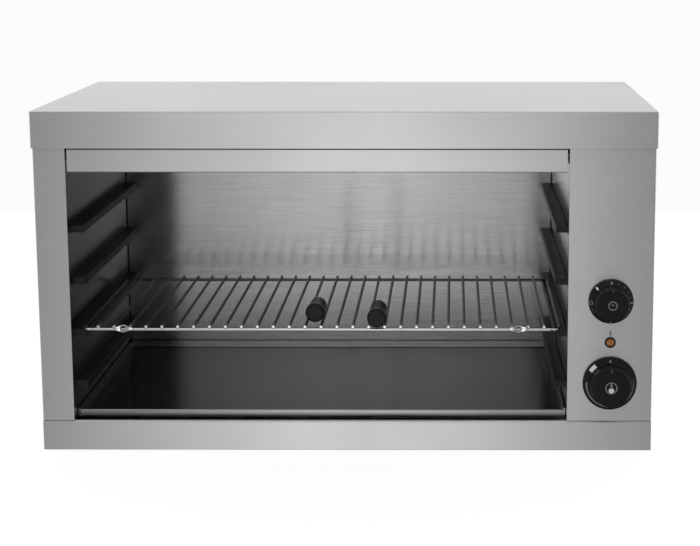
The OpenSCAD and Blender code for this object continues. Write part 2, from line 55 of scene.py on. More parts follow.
studio = {"backdrop": 1.0, "sideBase": 0.20, "rightBase": 0.10, "dimFrom": 0.10, "dimTo": 0.26,
          "frontGlow": 1.41, "glowWidth": 0.15, "glowCentre": -0.06, "fadeFrom": 0.02, "fadeTo": 0.30,
          "highShare": 0.20, "lowFrom": -0.34, "lowTo": -0.12, "lowShare": 0.82, "deepFrom": -0.80,
          "deepTo": -0.42, "deepShare": 0.3, "sideFrom": 0.34, "sideTo": 0.60, "sideLight": 0.55,
          "aboveSlope": 3.0, "aboveFrom": 0.45, "seen": 0.97,
          "floorHalf": (1.6, 1.2), "floorY": 0.35, "floorColor": 0.10, "floorGlow": 0.915}


def makeCamera(c):
    data = bpy.data.cameras.new("studioCamera")
    data.sensor_width = c["sensor"]
    data.lens = c["lens"]
    data.shift_x = c["shiftX"]
    data.shift_y = c["shiftY"]
    data.clip_end = 50
    camera = bpy.data.objects.new("studioCamera", data)
    camera.location = c["place"]
    camera.rotation_euler = (math.radians(90 - c["pitchDown"]), 0, math.radians(c["turnLeft"]))
    bpy.context.scene.collection.objects.link(camera)
    bpy.context.scene.camera = camera


def addNode(tree, kind, **settings):
    node = tree.nodes.new(kind)
    for key, value in settings.items():
        setattr(node, key, value)
    return node


def feed(tree, socket, value):
    if value is None:
        return
    if hasattr(value, "is_linked"):
        tree.links.new(value, socket)
    else:
        socket.default_value = value


def mathNode(tree, operation, a, b=None, c=None, clamp=False):
    node = addNode(tree, "ShaderNodeMath", operation=operation, use_clamp=clamp)
    for socket, value in zip(node.inputs, (a, b, c)):
        feed(tree, socket, value)
    return node.outputs[0]


def mixNode(tree, kind, factor, a, b):
    node = addNode(tree, "ShaderNodeMix", data_type=kind)
    index = {"FLOAT": 2, "RGBA": 6, "VECTOR": 4}[kind]
    feed(tree, node.inputs[0], factor)
    feed(tree, node.inputs[index], a)
    feed(tree, node.inputs[index + 1], b)
    return node.outputs[{"FLOAT": 0, "VECTOR": 1, "RGBA": 2}[kind]]


def rampNode(tree, value, start, end, low, high, soft=True):
    # low before start, high after end, and a ramp between them
    ramp = addNode(tree, "ShaderNodeMapRange", interpolation_type="SMOOTHSTEP" if soft else "LINEAR")
    for socket, setting in zip(ramp.inputs, (value, start, end, low, high)):
        feed(tree, socket, setting)
    return ramp.outputs[0]


def makeWorld(c):
    # A bright strip in front that fades to both sides, soft light from far left and right,
    # and a pale backdrop behind and above
    world = bpy.data.worlds.new("studioWorld")
    bpy.context.scene.world = world
    world.use_nodes = True
    tree = world.node_tree
    tree.nodes.clear()
    split = addNode(tree, "ShaderNodeSeparateXYZ")
    feed(tree, split.inputs[0], addNode(tree, "ShaderNodeTexCoord").outputs["Generated"])
    x, y, z = split.outputs
    offset = mathNode(tree, "DIVIDE", mathNode(tree, "SUBTRACT", x, c["glowCentre"]), c["glowWidth"])
    glow = mathNode(tree, "EXPONENT", mathNode(tree, "MULTIPLY", mathNode(tree, "POWER", offset, 2.0), -1.0))
    base = rampNode(tree, x, c["dimFrom"], c["dimTo"], c["sideBase"], c["rightBase"])
    band = mathNode(tree, "MULTIPLY_ADD", glow, c["frontGlow"], base)
    fade = rampNode(tree, z, c["fadeFrom"], c["fadeTo"], 1.0, c["highShare"])
    low = rampNode(tree, z, c["lowFrom"], c["lowTo"], c["lowShare"], 1.0, soft=False)
    deep = rampNode(tree, z, c["deepFrom"], c["deepTo"], c["deepShare"], 1.0, soft=False)
    shade = mathNode(tree, "MULTIPLY", low, deep)
    front = mathNode(tree, "MULTIPLY", mathNode(tree, "MULTIPLY", band, fade), shade)
    side = rampNode(tree, mathNode(tree, "ABSOLUTE", x), c["sideFrom"], c["sideTo"], 0.0, c["sideLight"])
    front = mathNode(tree, "ADD", front, side)
    behind = mathNode(tree, "MULTIPLY_ADD", y, 2.0, 0.5, clamp=True)
    slope = c["aboveSlope"]
    above = mathNode(tree, "MULTIPLY_ADD", z, slope, -slope * c["aboveFrom"], clamp=True)
    level = mixNode(tree, "FLOAT", mathNode(tree, "MAXIMUM", behind, above), front, c["backdrop"])
    lit = addNode(tree, "ShaderNodeBackground")
    lit.inputs["Color"].default_value = (1, 1, 1, 1)
    feed(tree, lit.inputs["Strength"], level)
    seen = addNode(tree, "ShaderNodeBackground")
    seen.inputs["Color"].default_value = (c["seen"],) * 3 + (1,)
    mix = addNode(tree, "ShaderNodeMixShader")
    feed(tree, mix.inputs[0], addNode(tree, "ShaderNodeLightPath").outputs["Is Camera Ray"])
    feed(tree, mix.inputs[1], lit.outputs[0])
    feed(tree, mix.inputs[2], seen.outputs[0])
    feed(tree, addNode(tree, "ShaderNodeOutputWorld").inputs[0], mix.outputs[0])


def makeFloor(c):
    bm = bmesh.new()
    halfX, halfY = (1000 * v for v in c["floorHalf"])
    corners = [(-halfX, -halfY), (halfX, -halfY), (halfX, halfY), (-halfX, halfY)]
    bm.faces.new([bm.verts.new((x, y + 1000 * c["floorY"], 0)) for x, y in corners])
    floor = makeObject("studioFloor", bm)
    material = bpy.data.materials.new("paleFloor")
    material.use_nodes = True
    tree = material.node_tree
    shader = tree.nodes["Principled BSDF"]
    shader.inputs["Roughness"].default_value = 0.9
    shader.inputs["Base Color"].default_value = (c["floorColor"],) * 3 + (1,)
    shader.inputs["Emission Strength"].default_value = c["floorGlow"]
    shader.inputs["Emission Color"].default_value = (1, 1, 1, 1)
    # Only the camera sees the floor, so the sheets mirror the soft light in front of them instead
    mix = addNode(tree, "ShaderNodeMixShader")
    feed(tree, mix.inputs[0], addNode(tree, "ShaderNodeLightPath").outputs["Is Camera Ray"])
    feed(tree, mix.inputs[1], addNode(tree, "ShaderNodeBsdfTransparent").outputs[0])
    feed(tree, mix.inputs[2], shader.outputs[0])
    feed(tree, tree.nodes["Material Output"].inputs[0], mix.outputs[0])
    floor.data.materials.append(material)


def makeObject(name, bm, sharp=32):
    # Turns a mesh in millimetres into an object in the row frame, smooth except at sharp corners
    bmesh.ops.scale(bm, vec=(mm, mm, mm), verts=bm.verts)
    bmesh.ops.recalc_face_normals(bm, faces=bm.faces)
    mesh = bpy.data.meshes.new(name)
    bm.to_mesh(mesh)
    bm.free()
    mesh.shade_smooth()
    mesh.set_sharp_from_angle(angle=math.radians(sharp))
    obj = bpy.data.objects.new(name, mesh)
    bpy.context.scene.collection.objects.link(obj)
    return obj


def flattenNormals(obj):
    # Keeps large flat faces flat where they meet a rounded fold
    weighted = obj.modifiers.new("normals", "WEIGHTED_NORMAL")
    weighted.mode = "FACE_AREA"
    weighted.weight = 100
    weighted.keep_sharp = True


def boxOf(node):
    low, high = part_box(node)
    return Vector(low) * 1000, Vector(high) * 1000


def roundPath(points, radius, steps=5, closed=False):
    # The same path with each corner turned into an arc; radius is one number or one for each corner
    points = [Vector(p) for p in points]
    count = len(points)
    radii = radius if isinstance(radius, (list, tuple)) else [radius] * count
    corners = range(count) if closed else range(1, count - 1)
    path = [] if closed else [points[0]]
    for i in corners:
        corner, r = points[i], radii[i if closed else i - 1]
        a = (points[i - 1] - corner).normalized()
        b = (points[(i + 1) % count] - corner).normalized()
        half = a.angle(b) / 2
        if r <= 0 or half > 1.55:
            path.append(corner)
            continue
        centre = corner + (a + b).normalized() * (r / math.sin(half))
        start, end = (corner + v * (r / math.tan(half)) - centre for v in (a, b))
        turn = start.angle(end)
        for k in range(steps + 1):
            t = k / steps
            path.append(centre + (start * math.sin((1 - t) * turn) + end * math.sin(t * turn)) / math.sin(turn))
    return path if closed else path + [points[-1]]


def foldedOutline(path, thickness, radius, steps=5):
    # Cross-section of a folded sheet whose visible side follows the path; thickness goes to its left
    outer = roundPath(path, radius, steps)
    inner = []
    for i, p in enumerate(outer):
        along = Vector((0, 0))
        for a, b in ((i - 1, i), (i, i + 1)):
            if a >= 0 and b < len(outer) and (outer[b] - outer[a]).length > 1e-6:
                along += (outer[b] - outer[a]).normalized()
        side = Vector((-along.y, along.x)).normalized()
        inner.append(p + side * thickness / max(along.length / 2 if 0 < i < len(outer) - 1 else 1, 0.5))
    return outer + inner[::-1]


def placePoint(axis, a, b, w):
    return {"X": (w, a, b), "Y": (a, w, b), "Z": (a, b, w)}[axis]


def addPrism(bm, outline, axis, low, high):
    ends = [[bm.verts.new(placePoint(axis, p[0], p[1], w)) for p in outline] for w in (low, high)]
    for i in range(len(outline)):
        j = (i + 1) % len(outline)
        bm.faces.new((ends[0][i], ends[0][j], ends[1][j], ends[1][i]))
    bm.faces.new(ends[0][::-1])
    bm.faces.new(ends[1])


def addLathe(bm, profile, origin, axis, segments=64, rib=None):
    # profile is a list of (distance along the axis, radius); rib changes a radius by its angle
    origin, axis = Vector(origin), Vector(axis).normalized()
    across = axis.orthogonal().normalized() if abs(axis.z) > 0.9 else axis.cross(faceUp).normalized()
    other = axis.cross(across)
    rings = []
    for h, r in profile:
        if r < 1e-4:
            rings.append([bm.verts.new(origin + axis * h)])
            continue
        ring = []
        for k in range(segments):
            angle = 2 * math.pi * k / segments
            radius = rib(angle, h, r) if rib else r
            spoke = across * math.cos(angle) + other * math.sin(angle)
            ring.append(bm.verts.new(origin + axis * h + spoke * radius))
        rings.append(ring)
    for low, high in zip(rings, rings[1:]):
        for k in range(segments):
            j = (k + 1) % segments
            if len(low) == 1 and len(high) == 1:
                break
            if len(low) == 1:
                bm.faces.new((low[0], high[k], high[j]))
            elif len(high) == 1:
                bm.faces.new((low[k], low[j], high[0]))
            else:
                bm.faces.new((low[k], low[j], high[j], high[k]))


def addTube(bm, points, radius, segments=16, closed=False):
    # Round wire along a path of points, cut flat with eased rims where it isn't closed
    points = [Vector(p) for p in points]
    count = len(points)
    rings, side = [], None
    stations = []
    for i, p in enumerate(points):
        before = points[i - 1] if (i or closed) else p
        after = points[(i + 1) % count] if (i < count - 1 or closed) else p
        stations.append((p, (after - before).normalized(), radius))
    if not closed:
        (p0, d0, r), (p1, d1, r) = stations[0], stations[-1]
        domes = [(1.0, 0.86), (0.85, 0.95), (0.6, 1.0)]
        first = [(p0 + d0 * r * 0.6 * (1 - a), d0, r * b) for a, b in domes]
        last = [(p1 - d1 * r * 0.6 * (1 - a), d1, r * b) for a, b in reversed(domes)]
        stations[0] = (p0 + d0 * r * 0.6, d0, r)
        stations[-1] = (p1 - d1 * r * 0.6, d1, r)
        stations = first + stations + last
    for p, direction, r in stations:
        if side is None:
            side = direction.orthogonal().normalized()
        side = (side - direction * side.dot(direction)).normalized()
        up = direction.cross(side)
        rings.append([bm.verts.new(p + (side * math.cos(a) + up * math.sin(a)) * r)
                      for a in (2 * math.pi * k / segments for k in range(segments))])
    pairs = list(zip(rings, rings[1:])) + ([(rings[-1], rings[0])] if closed else [])
    for low, high in pairs:
        for k in range(segments):
            j = (k + 1) % segments
            bm.faces.new((low[k], low[j], high[j], high[k]))
    if not closed:
        bm.faces.new(rings[0][::-1])
        bm.faces.new(rings[-1])


def bead(bm, centre, radii, segments=12):
    addLathe(bm, [(radii[2] * math.sin(t), max(math.cos(t), 0) * radii[0])
                  for t in (math.pi * (k / 8 - 0.5) for k in range(9))], centre, faceUp, segments)


def softBevel(obj, width, segments=2, angle=40):
    # Rounds the edges of a CAD node without changing its own mesh
    weld = obj.modifiers.new("weld", "WELD")
    weld.merge_threshold = 0.00001
    bevel = obj.modifiers.new("bevel", "BEVEL")
    bevel.width = width * mm
    bevel.segments = segments
    bevel.limit_method = "ANGLE"
    bevel.angle_limit = math.radians(angle)
    bevel.harden_normals = True


def effectGroup(name, inputs, outputs):
    tree = bpy.data.node_groups.new(name, "ShaderNodeTree")
    for label, value in inputs.items():
        kind = "NodeSocketColor" if isinstance(value, tuple) else "NodeSocketFloat"
        socket = tree.interface.new_socket(label, in_out="INPUT", socket_type=kind)
        socket.default_value = value
    for label in outputs:
        tree.interface.new_socket(label, in_out="OUTPUT", socket_type="NodeSocketFloat")
    return tree, addNode(tree, "NodeGroupInput").outputs, addNode(tree, "NodeGroupOutput").inputs


def noise(tree, vector, scale, detail=3.0, roughness=0.55):
    node = addNode(tree, "ShaderNodeTexNoise")
    feed(tree, node.inputs["Vector"], vector)
    feed(tree, node.inputs["Scale"], scale)
    node.inputs["Detail"].default_value = detail
    node.inputs["Roughness"].default_value = roughness
    return node.outputs["Fac"]


def makeGrain():
    # Long fine scratches that stay level on walls and run from side to side on flat sheets
    tree, given, out = effectGroup("grainEffect", {"Density": 700.0, "Length": 2.0}, ["Streak"])
    place = addNode(tree, "ShaderNodeSeparateXYZ")
    feed(tree, place.inputs[0], addNode(tree, "ShaderNodeTexCoord").outputs["Object"])
    facing = addNode(tree, "ShaderNodeSeparateXYZ")
    feed(tree, facing.inputs[0], addNode(tree, "ShaderNodeNewGeometry").outputs["Normal"])
    x, y, z = place.outputs
    flat = mathNode(tree, "GREATER_THAN", mathNode(tree, "ABSOLUTE", facing.outputs[2]), 0.6)
    sideways = mathNode(tree, "GREATER_THAN", mathNode(tree, "ABSOLUTE", facing.outputs[0]), 0.6)
    along = mathNode(tree, "MULTIPLY", mixNode(tree, "FLOAT", sideways, x, y), given["Length"])
    across = mathNode(tree, "MULTIPLY", mixNode(tree, "FLOAT", flat, z, y), given["Density"])
    vector = addNode(tree, "ShaderNodeCombineXYZ")
    feed(tree, vector.inputs[0], along)
    feed(tree, vector.inputs[1], across)
    feed(tree, out["Streak"], noise(tree, vector.outputs[0], 1.0, 2.0, 0.5))
    return tree


def makeMottle():
    # Soft uneven patches: handling marks on metal, cloudy colour on plastic and oxide
    tree, given, out = effectGroup("mottleEffect", {"Scale": 12.0, "Contrast": 1.5}, ["Patch"])
    where = addNode(tree, "ShaderNodeTexCoord").outputs["Object"]
    patch = noise(tree, where, given["Scale"], 4.0, 0.6)
    centred = mathNode(tree, "SUBTRACT", patch, 0.5)
    feed(tree, out["Patch"], mathNode(tree, "MULTIPLY_ADD", centred, given["Contrast"], 0.5, clamp=True))
    return tree


def makeWear():
    # Finds convex edges and lightens them, partly as worn paint and partly as a painted highlight, broken up so
    # that it doesn't look drawn on
    tree, given, out = effectGroup("edgeWearAndHighlightEffect", {"Radius": 0.0008, "Amount": 1.0}, ["Mask"])
    bevel = addNode(tree, "ShaderNodeBevel", samples=4)
    feed(tree, bevel.inputs["Radius"], given["Radius"])
    dot = addNode(tree, "ShaderNodeVectorMath", operation="DOT_PRODUCT")
    feed(tree, dot.inputs[0], bevel.outputs[0])
    feed(tree, dot.inputs[1], addNode(tree, "ShaderNodeNewGeometry").outputs["Normal"])
    edge = mathNode(tree, "MULTIPLY", mathNode(tree, "SUBTRACT", 1.0, dot.outputs["Value"]), 5.0, clamp=True)
    broken = noise(tree, addNode(tree, "ShaderNodeTexCoord").outputs["Object"], 180.0, 3.0)
    mask = mathNode(tree, "MULTIPLY", edge, mathNode(tree, "MULTIPLY_ADD", broken, 2.4, -0.7, clamp=True))
    feed(tree, out["Mask"], mathNode(tree, "MULTIPLY", mask, given["Amount"], clamp=True))
    return tree


def makeDust():
    # A trace of dust on faces that look up
    tree, given, out = effectGroup("dustEffect", {"Amount": 0.1}, ["Mask"])
    facing = addNode(tree, "ShaderNodeSeparateXYZ")
    feed(tree, facing.inputs[0], addNode(tree, "ShaderNodeNewGeometry").outputs["Normal"])
    up = mathNode(tree, "POWER", mathNode(tree, "MAXIMUM", facing.outputs[2], 0.0), 4.0)
    where = addNode(tree, "ShaderNodeTexCoord").outputs["Object"]
    patch = mathNode(tree, "MULTIPLY_ADD", noise(tree, where, 60.0, 5.0, 0.7), 3.0, -1.0, clamp=True)
    feed(tree, out["Mask"], mathNode(tree, "MULTIPLY", mathNode(tree, "MULTIPLY", up, patch), given["Amount"]))
    return tree


def makeBow():
    # Thin sheet is never quite flat: it bulges a little from side to side
    tree, given, out = effectGroup("bowEffect", {"Middle": 0.0, "Curve": 1.0}, ["Rise"])
    place = addNode(tree, "ShaderNodeSeparateXYZ")
    feed(tree, place.inputs[0], addNode(tree, "ShaderNodeTexCoord").outputs["Object"])
    away = mathNode(tree, "SUBTRACT", place.outputs[0], given["Middle"])
    feed(tree, out["Rise"], mathNode(tree, "MULTIPLY", mathNode(tree, "MULTIPLY", away, away), given["Curve"]))
    return tree


def makeTint():
    # Painted shade: wire is darkened behind the front edge, as if in the oven's shade, and stays bright at the
    # front
    tree, given, out = effectGroup("tintEffect", {"Front": -0.178, "Reach": 0.006}, ["Mask"])
    place = addNode(tree, "ShaderNodeSeparateXYZ")
    feed(tree, place.inputs[0], addNode(tree, "ShaderNodeTexCoord").outputs["Object"])
    away = mathNode(tree, "SUBTRACT", place.outputs[1], given["Front"])
    feed(tree, out["Mask"], mathNode(tree, "DIVIDE", away, given["Reach"], clamp=True))
    return tree


effects = {"bow": makeBow(), "tint": makeTint(), "grain": makeGrain(), "mottle": makeMottle(),
           "wearAndHighlight": makeWear(), "dust": makeDust()}

# One entry for each finish. color and second mix in soft patches; grain and bump are strengths,
# scratch is the height of the grain in metres, and bow gives the middle and the curve of a sheet
finishes = {
    "brushed_steel": {"color": (0.62, 0.622, 0.62), "second": (0.585, 0.587, 0.59), "metallic": 1.0,
                      "roughness": 0.305, "spread": 0.05, "anisotropic": 0.9, "grain": 0.06, "bump": 0.6,
                      "scratch": 0.00001, "patchScale": 5.0},
    "polished_steel": {"color": (0.36, 0.36, 0.36), "second": (0.325, 0.325, 0.325), "metallic": 1.0,
                       "roughness": 0.11, "spread": 0.02, "anisotropic": 0.98, "grain": 0.05, "bump": 1.0,
                       "scratch": 0.00009, "bow": (0.1, 0.019), "patchScale": 7.0},
    "wall_steel": {"color": (0.66, 0.655, 0.65), "second": (0.58, 0.57, 0.56), "metallic": 1.0,
                   "roughness": 0.16, "spread": 0.04, "anisotropic": 0.95, "grain": 0.05, "bump": 1.0,
                   "scratch": 0.00005, "patchScale": 7.0},
    # Reflector: dulled by heat, and darker still as painted shade for the top of the oven
    "heated_shaded_steel": {"color": (0.20, 0.19, 0.18), "second": (0.13, 0.12, 0.11), "metallic": 1.0,
                     "roughness": 0.33, "spread": 0.08, "anisotropic": 0.8, "grain": 0.05, "bump": 0.5,
                     "scratch": 0.00002, "patchScale": 9.0},
    "plain_steel": {"color": (0.60, 0.60, 0.595), "second": (0.52, 0.52, 0.52), "metallic": 1.0,
                    "roughness": 0.38, "spread": 0.10, "anisotropic": 0.3, "grain": 0.04, "bump": 0.5,
                    "scratch": 0.00001, "patchScale": 14.0, "dust": 0.1},
    # On the runners and knobs the lighter edges are partly wear, partly a painted highlight
    "runner_black": {"color": (0.006, 0.006, 0.006), "second": (0.011, 0.011, 0.011), "metallic": 0.0,
                     "specular": 0.2, "roughness": 0.34, "spread": 0.10, "bump": 0.06, "bumpScale": 900.0,
                     "patchScale": 30.0, "wearAndHighlight": 0.25, "wearAndHighlightColor": (0.10, 0.10, 0.10), "coat": 0.08},
    # tint is painted shade on the wires inside the oven, behind the rack's front edge
    "rack_chrome": {"color": (0.72, 0.72, 0.73), "second": (0.60, 0.60, 0.61), "metallic": 1.0,
                    "tint": (0.13, 0.13, 0.135), "roughness": 0.14, "spread": 0.08, "bump": 0.03,
                    "bumpScale": 700.0, "patchScale": 40.0},
    "grip_black": {"color": (0.0045, 0.0045, 0.0045), "second": (0.008, 0.008, 0.008), "metallic": 0.0,
                   "specular": 0.2, "roughness": 0.33, "spread": 0.10, "bump": 0.05, "bumpScale": 1400.0,
                   "patchScale": 60.0, "dust": 0.03, "coat": 0.05},
    "fastener_steel": {"color": (0.66, 0.66, 0.64), "second": (0.52, 0.53, 0.55), "metallic": 1.0,
                       "roughness": 0.36, "spread": 0.12, "bump": 0.04, "bumpScale": 1500.0, "patchScale": 150.0},
    "element_sheath": {"color": (0.16, 0.15, 0.14), "second": (0.28, 0.25, 0.22), "metallic": 0.8,
                       "roughness": 0.45, "spread": 0.15, "bump": 0.12, "bumpScale": 1200.0, "patchScale": 35.0},
    "ceramic": {"color": (0.80, 0.78, 0.72), "second": (0.72, 0.69, 0.62), "metallic": 0.0,
                "roughness": 0.55, "spread": 0.10, "bump": 0.08, "bumpScale": 1500.0, "patchScale": 120.0},
    "control_case": {"color": (0.74, 0.72, 0.68), "second": (0.68, 0.66, 0.61), "metallic": 0.0,
                     "roughness": 0.42, "spread": 0.08, "bump": 0.04, "bumpScale": 1600.0, "patchScale": 70.0,
                     "dust": 0.06},
    "dark_case": {"color": (0.035, 0.035, 0.037), "second": (0.055, 0.055, 0.055), "metallic": 0.0,
                  "roughness": 0.40, "spread": 0.08, "bump": 0.04, "bumpScale": 1600.0, "patchScale": 70.0},
    "knob_black": {"color": (0.0038, 0.0038, 0.0038), "second": (0.006, 0.006, 0.006), "metallic": 0.0,
                   "roughness": 0.36, "spread": 0.06, "bump": 0.05, "bumpScale": 2600.0, "patchScale": 50.0,
                   "wearAndHighlight": 0.06, "wearAndHighlightColor": (0.12, 0.12, 0.12), "specular": 0.2},
    "copper_tube": {"color": (0.72, 0.40, 0.26), "second": (0.48, 0.27, 0.18), "metallic": 1.0,
                    "roughness": 0.36, "spread": 0.15, "bump": 0.03, "bumpScale": 900.0, "patchScale": 60.0},
    "amber_lens": {"color": (0.62, 0.20, 0.025), "second": (0.50, 0.15, 0.02), "metallic": 0.0,
                   "roughness": 0.18, "spread": 0.05, "bump": 0.10, "bumpScale": 2200.0, "patchScale": 300.0,
                   "transmission": 0.25, "coat": 0.6},
    "gland_nylon": {"color": (0.020, 0.020, 0.021), "second": (0.034, 0.034, 0.034), "metallic": 0.0,
                    "roughness": 0.45, "spread": 0.08, "bump": 0.06, "bumpScale": 1600.0, "patchScale": 90.0,
                    "dust": 0.08},
    "wire_insulation": {"color": (0.36, 0.05, 0.04), "second": (0.28, 0.04, 0.035), "metallic": 0.0,
                        "roughness": 0.48, "spread": 0.10, "bump": 0.06, "bumpScale": 1800.0, "patchScale": 60.0},
    "foot_rubber": {"color": (0.020, 0.020, 0.020), "second": (0.035, 0.034, 0.033), "metallic": 0.0,
                    "roughness": 0.75, "spread": 0.10, "bump": 0.15, "bumpScale": 1300.0, "patchScale": 80.0,
                    "dust": 0.15},
    # White print, also used for a painted highlight on the thermostat knob
    "whitePrintAndHighlight": {"color": (0.88, 0.88, 0.88), "second": (0.75, 0.75, 0.75), "metallic": 0.0,
                     "roughness": 0.55, "spread": 0.05, "bump": 0.03, "bumpScale": 3000.0, "patchScale": 400.0},
    "printedGrey": {"color": (0.30, 0.30, 0.30), "second": (0.20, 0.20, 0.20), "metallic": 0.0,
                    "roughness": 0.55, "spread": 0.05, "bump": 0.03, "bumpScale": 3000.0, "patchScale": 500.0},
    "printedDark": {"color": (0.05, 0.05, 0.055), "second": (0.09, 0.09, 0.09), "metallic": 0.0,
                    "roughness": 0.5, "spread": 0.05, "bump": 0.03, "bumpScale": 3000.0, "patchScale": 500.0},
}


def useEffect(tree, name, **values):
    node = addNode(tree, "ShaderNodeGroup", node_tree=effects[name])
    for key, value in values.items():
        node.inputs[key].default_value = value
    return node.outputs[0]


def makeFinish(name, c):
    material = bpy.data.materials.new(name)
    material.use_nodes = True
    material.diffuse_color = (*c["color"], 1)
    tree = material.node_tree
    shader = tree.nodes["Principled BSDF"]
    shader.inputs["Metallic"].default_value = c["metallic"]
    shader.inputs["Coat Weight"].default_value = c.get("coat", 0.0)
    shader.inputs["Coat Roughness"].default_value = 0.15
    shader.inputs["Transmission Weight"].default_value = c.get("transmission", 0.0)
    shader.inputs["Specular IOR Level"].default_value = c.get("specular", 0.5)
    patch = useEffect(tree, "mottle", Scale=c["patchScale"])
    color = mixNode(tree, "RGBA", patch, (*c["color"], 1), (*c["second"], 1))
    rough = mathNode(tree, "MULTIPLY_ADD", patch, c["spread"], c["roughness"] - c["spread"] / 2)
    if "grain" in c:
        # Light is spread across the grain, so reflections smear up and down on walls
        streak = useEffect(tree, "grain")
        light = mathNode(tree, "MULTIPLY_ADD", streak, c["grain"] * 2, 1 - c["grain"])
        tint = addNode(tree, "ShaderNodeVectorMath", operation="SCALE")
        feed(tree, tint.inputs[0], color)
        feed(tree, tint.inputs["Scale"], light)
        color = tint.outputs[0]
        shader.inputs["Anisotropic"].default_value = c["anisotropic"]
        across = addNode(tree, "ShaderNodeCombineXYZ")
        across.inputs[1].default_value, across.inputs[2].default_value = 0.05, 1.0
        feed(tree, shader.inputs["Tangent"], across.outputs[0])
        height, distance = useEffect(tree, "grain", Density=2600.0, Length=5.0), c["scratch"]
        if "bow" in c:
            middle, curve = c["bow"]
            rise = useEffect(tree, "bow", Middle=middle, Curve=-curve / distance)
            height = mathNode(tree, "ADD", height, rise)
    else:
        height = useEffect(tree, "mottle", Scale=c["bumpScale"])
        distance = 0.0002
    # Painted shade: darkens the wire behind the front edge
    if "tint" in c:
        color = mixNode(tree, "RGBA", useEffect(tree, "tint"), color, (*c["tint"], 1))
    # Convex edges are lightened: partly wear, partly a painted highlight
    if c.get("wearAndHighlight"):
        mask = useEffect(tree, "wearAndHighlight", Amount=c["wearAndHighlight"])
        color = mixNode(tree, "RGBA", mask, color, (*c["wearAndHighlightColor"], 1))
    if c.get("dust"):
        mask = useEffect(tree, "dust", Amount=c["dust"])
        color = mixNode(tree, "RGBA", mask, color, (0.45, 0.43, 0.40, 1))
        rough = mathNode(tree, "ADD", rough, mask, clamp=True)
    bump = addNode(tree, "ShaderNodeBump")
    bump.inputs["Strength"].default_value = c["bump"]
    bump.inputs["Distance"].default_value = distance
    bump.inputs["Filter Width"].default_value = 0.01
    feed(tree, bump.inputs["Height"], height)
    feed(tree, shader.inputs["Base Color"], color)
    feed(tree, shader.inputs["Roughness"], rough)
    feed(tree, shader.inputs["Normal"], bump.outputs[0])
    return material


makeCamera(cameraSetup)
makeWorld(studio)
makeFloor(studio)
bpy.context.scene.view_settings.view_transform = "Standard"
print("studio ready")

materials = {name: makeFinish(name, c) for name, c in finishes.items()}
slotOf = {part["node"]: part["material_slot"] for part in frame["record"]["subparts"]}
# The oven's lining shares one slot; heat has dulled the reflector, which is darkened further as painted shade for
# the top of the oven, and the walls stay brighter
lined = {"ceiling_reflector": "heated_shaded_steel", "left_liner": "wall_steel", "right_liner": "wall_steel"}
for node, obj in frame["nodes"].items():
    obj.data.materials.clear()
    obj.data.materials.append(materials[lined.get(node, slotOf[node])])
print("finishes ready")


def standFor(obj, body, *nodes):
    # A piece that is shown in place of CAD nodes and takes their finish
    slot = slotOf[nodes[0]]
    obj.data.materials.append(materials[slot])
    flattenNormals(obj)
    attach(obj, body)
    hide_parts(*nodes)
    return obj


hoodShell = {"bend": 1.7, "thickness": 1.0}


def makeHood(c):
    # Five faces with rounded folds, open underneath
    low, high = boxOf("hood")
    bm = bmesh.new()
    outline = roundPath([(low.x, low.y), (high.x, low.y), (high.x, high.y), (low.x, high.y)], c["bend"], 4, True)
    levels = [(0, 0)] + [(high.z - low.z - c["bend"] * (1 - math.sin(t)), c["bend"] * (1 - math.cos(t)))
                         for t in (math.pi / 2 * k / 4 for k in range(5))]
    middle = Vector(((low.x + high.x) / 2, (low.y + high.y) / 2))
    half = Vector(((high.x - low.x) / 2, (high.y - low.y) / 2))
    rings = []
    for up, inset in levels:
        ring = []
        for p in outline:
            d = p - middle
            scaled = (d.x * (half.x - inset) / half.x, d.y * (half.y - inset) / half.y)
            ring.append(bm.verts.new((middle.x + scaled[0], middle.y + scaled[1], low.z + up)))
        rings.append(ring)
    for a, b in zip(rings, rings[1:]):
        for i in range(len(outline)):
            j = (i + 1) % len(outline)
            bm.faces.new((a[i], a[j], b[j], b[i]))
    bm.faces.new(rings[-1])
    hood = makeObject("hoodShell", bm)
    wall = hood.modifiers.new("thickness", "SOLIDIFY")
    wall.thickness = c["thickness"] * mm
    wall.offset = -1
    return standFor(hood, "cabinet", "hood")


# The last entry is the width of the dark strips painted as shade into the two back corners
bodySheets = {"thickness": 1.0, "bend": 1.6, "railBottomBend": 1.2, "railTopBend": 3.0, "railTopDepth": 5.5,
              "railTopDrop": 12.0, "wrap": 2.2, "backFlange": 15.0, "gap": 0.15, "reveal": 1.2,
              "revealDepth": 11.0, "cornerShadeWidth": 1.2}


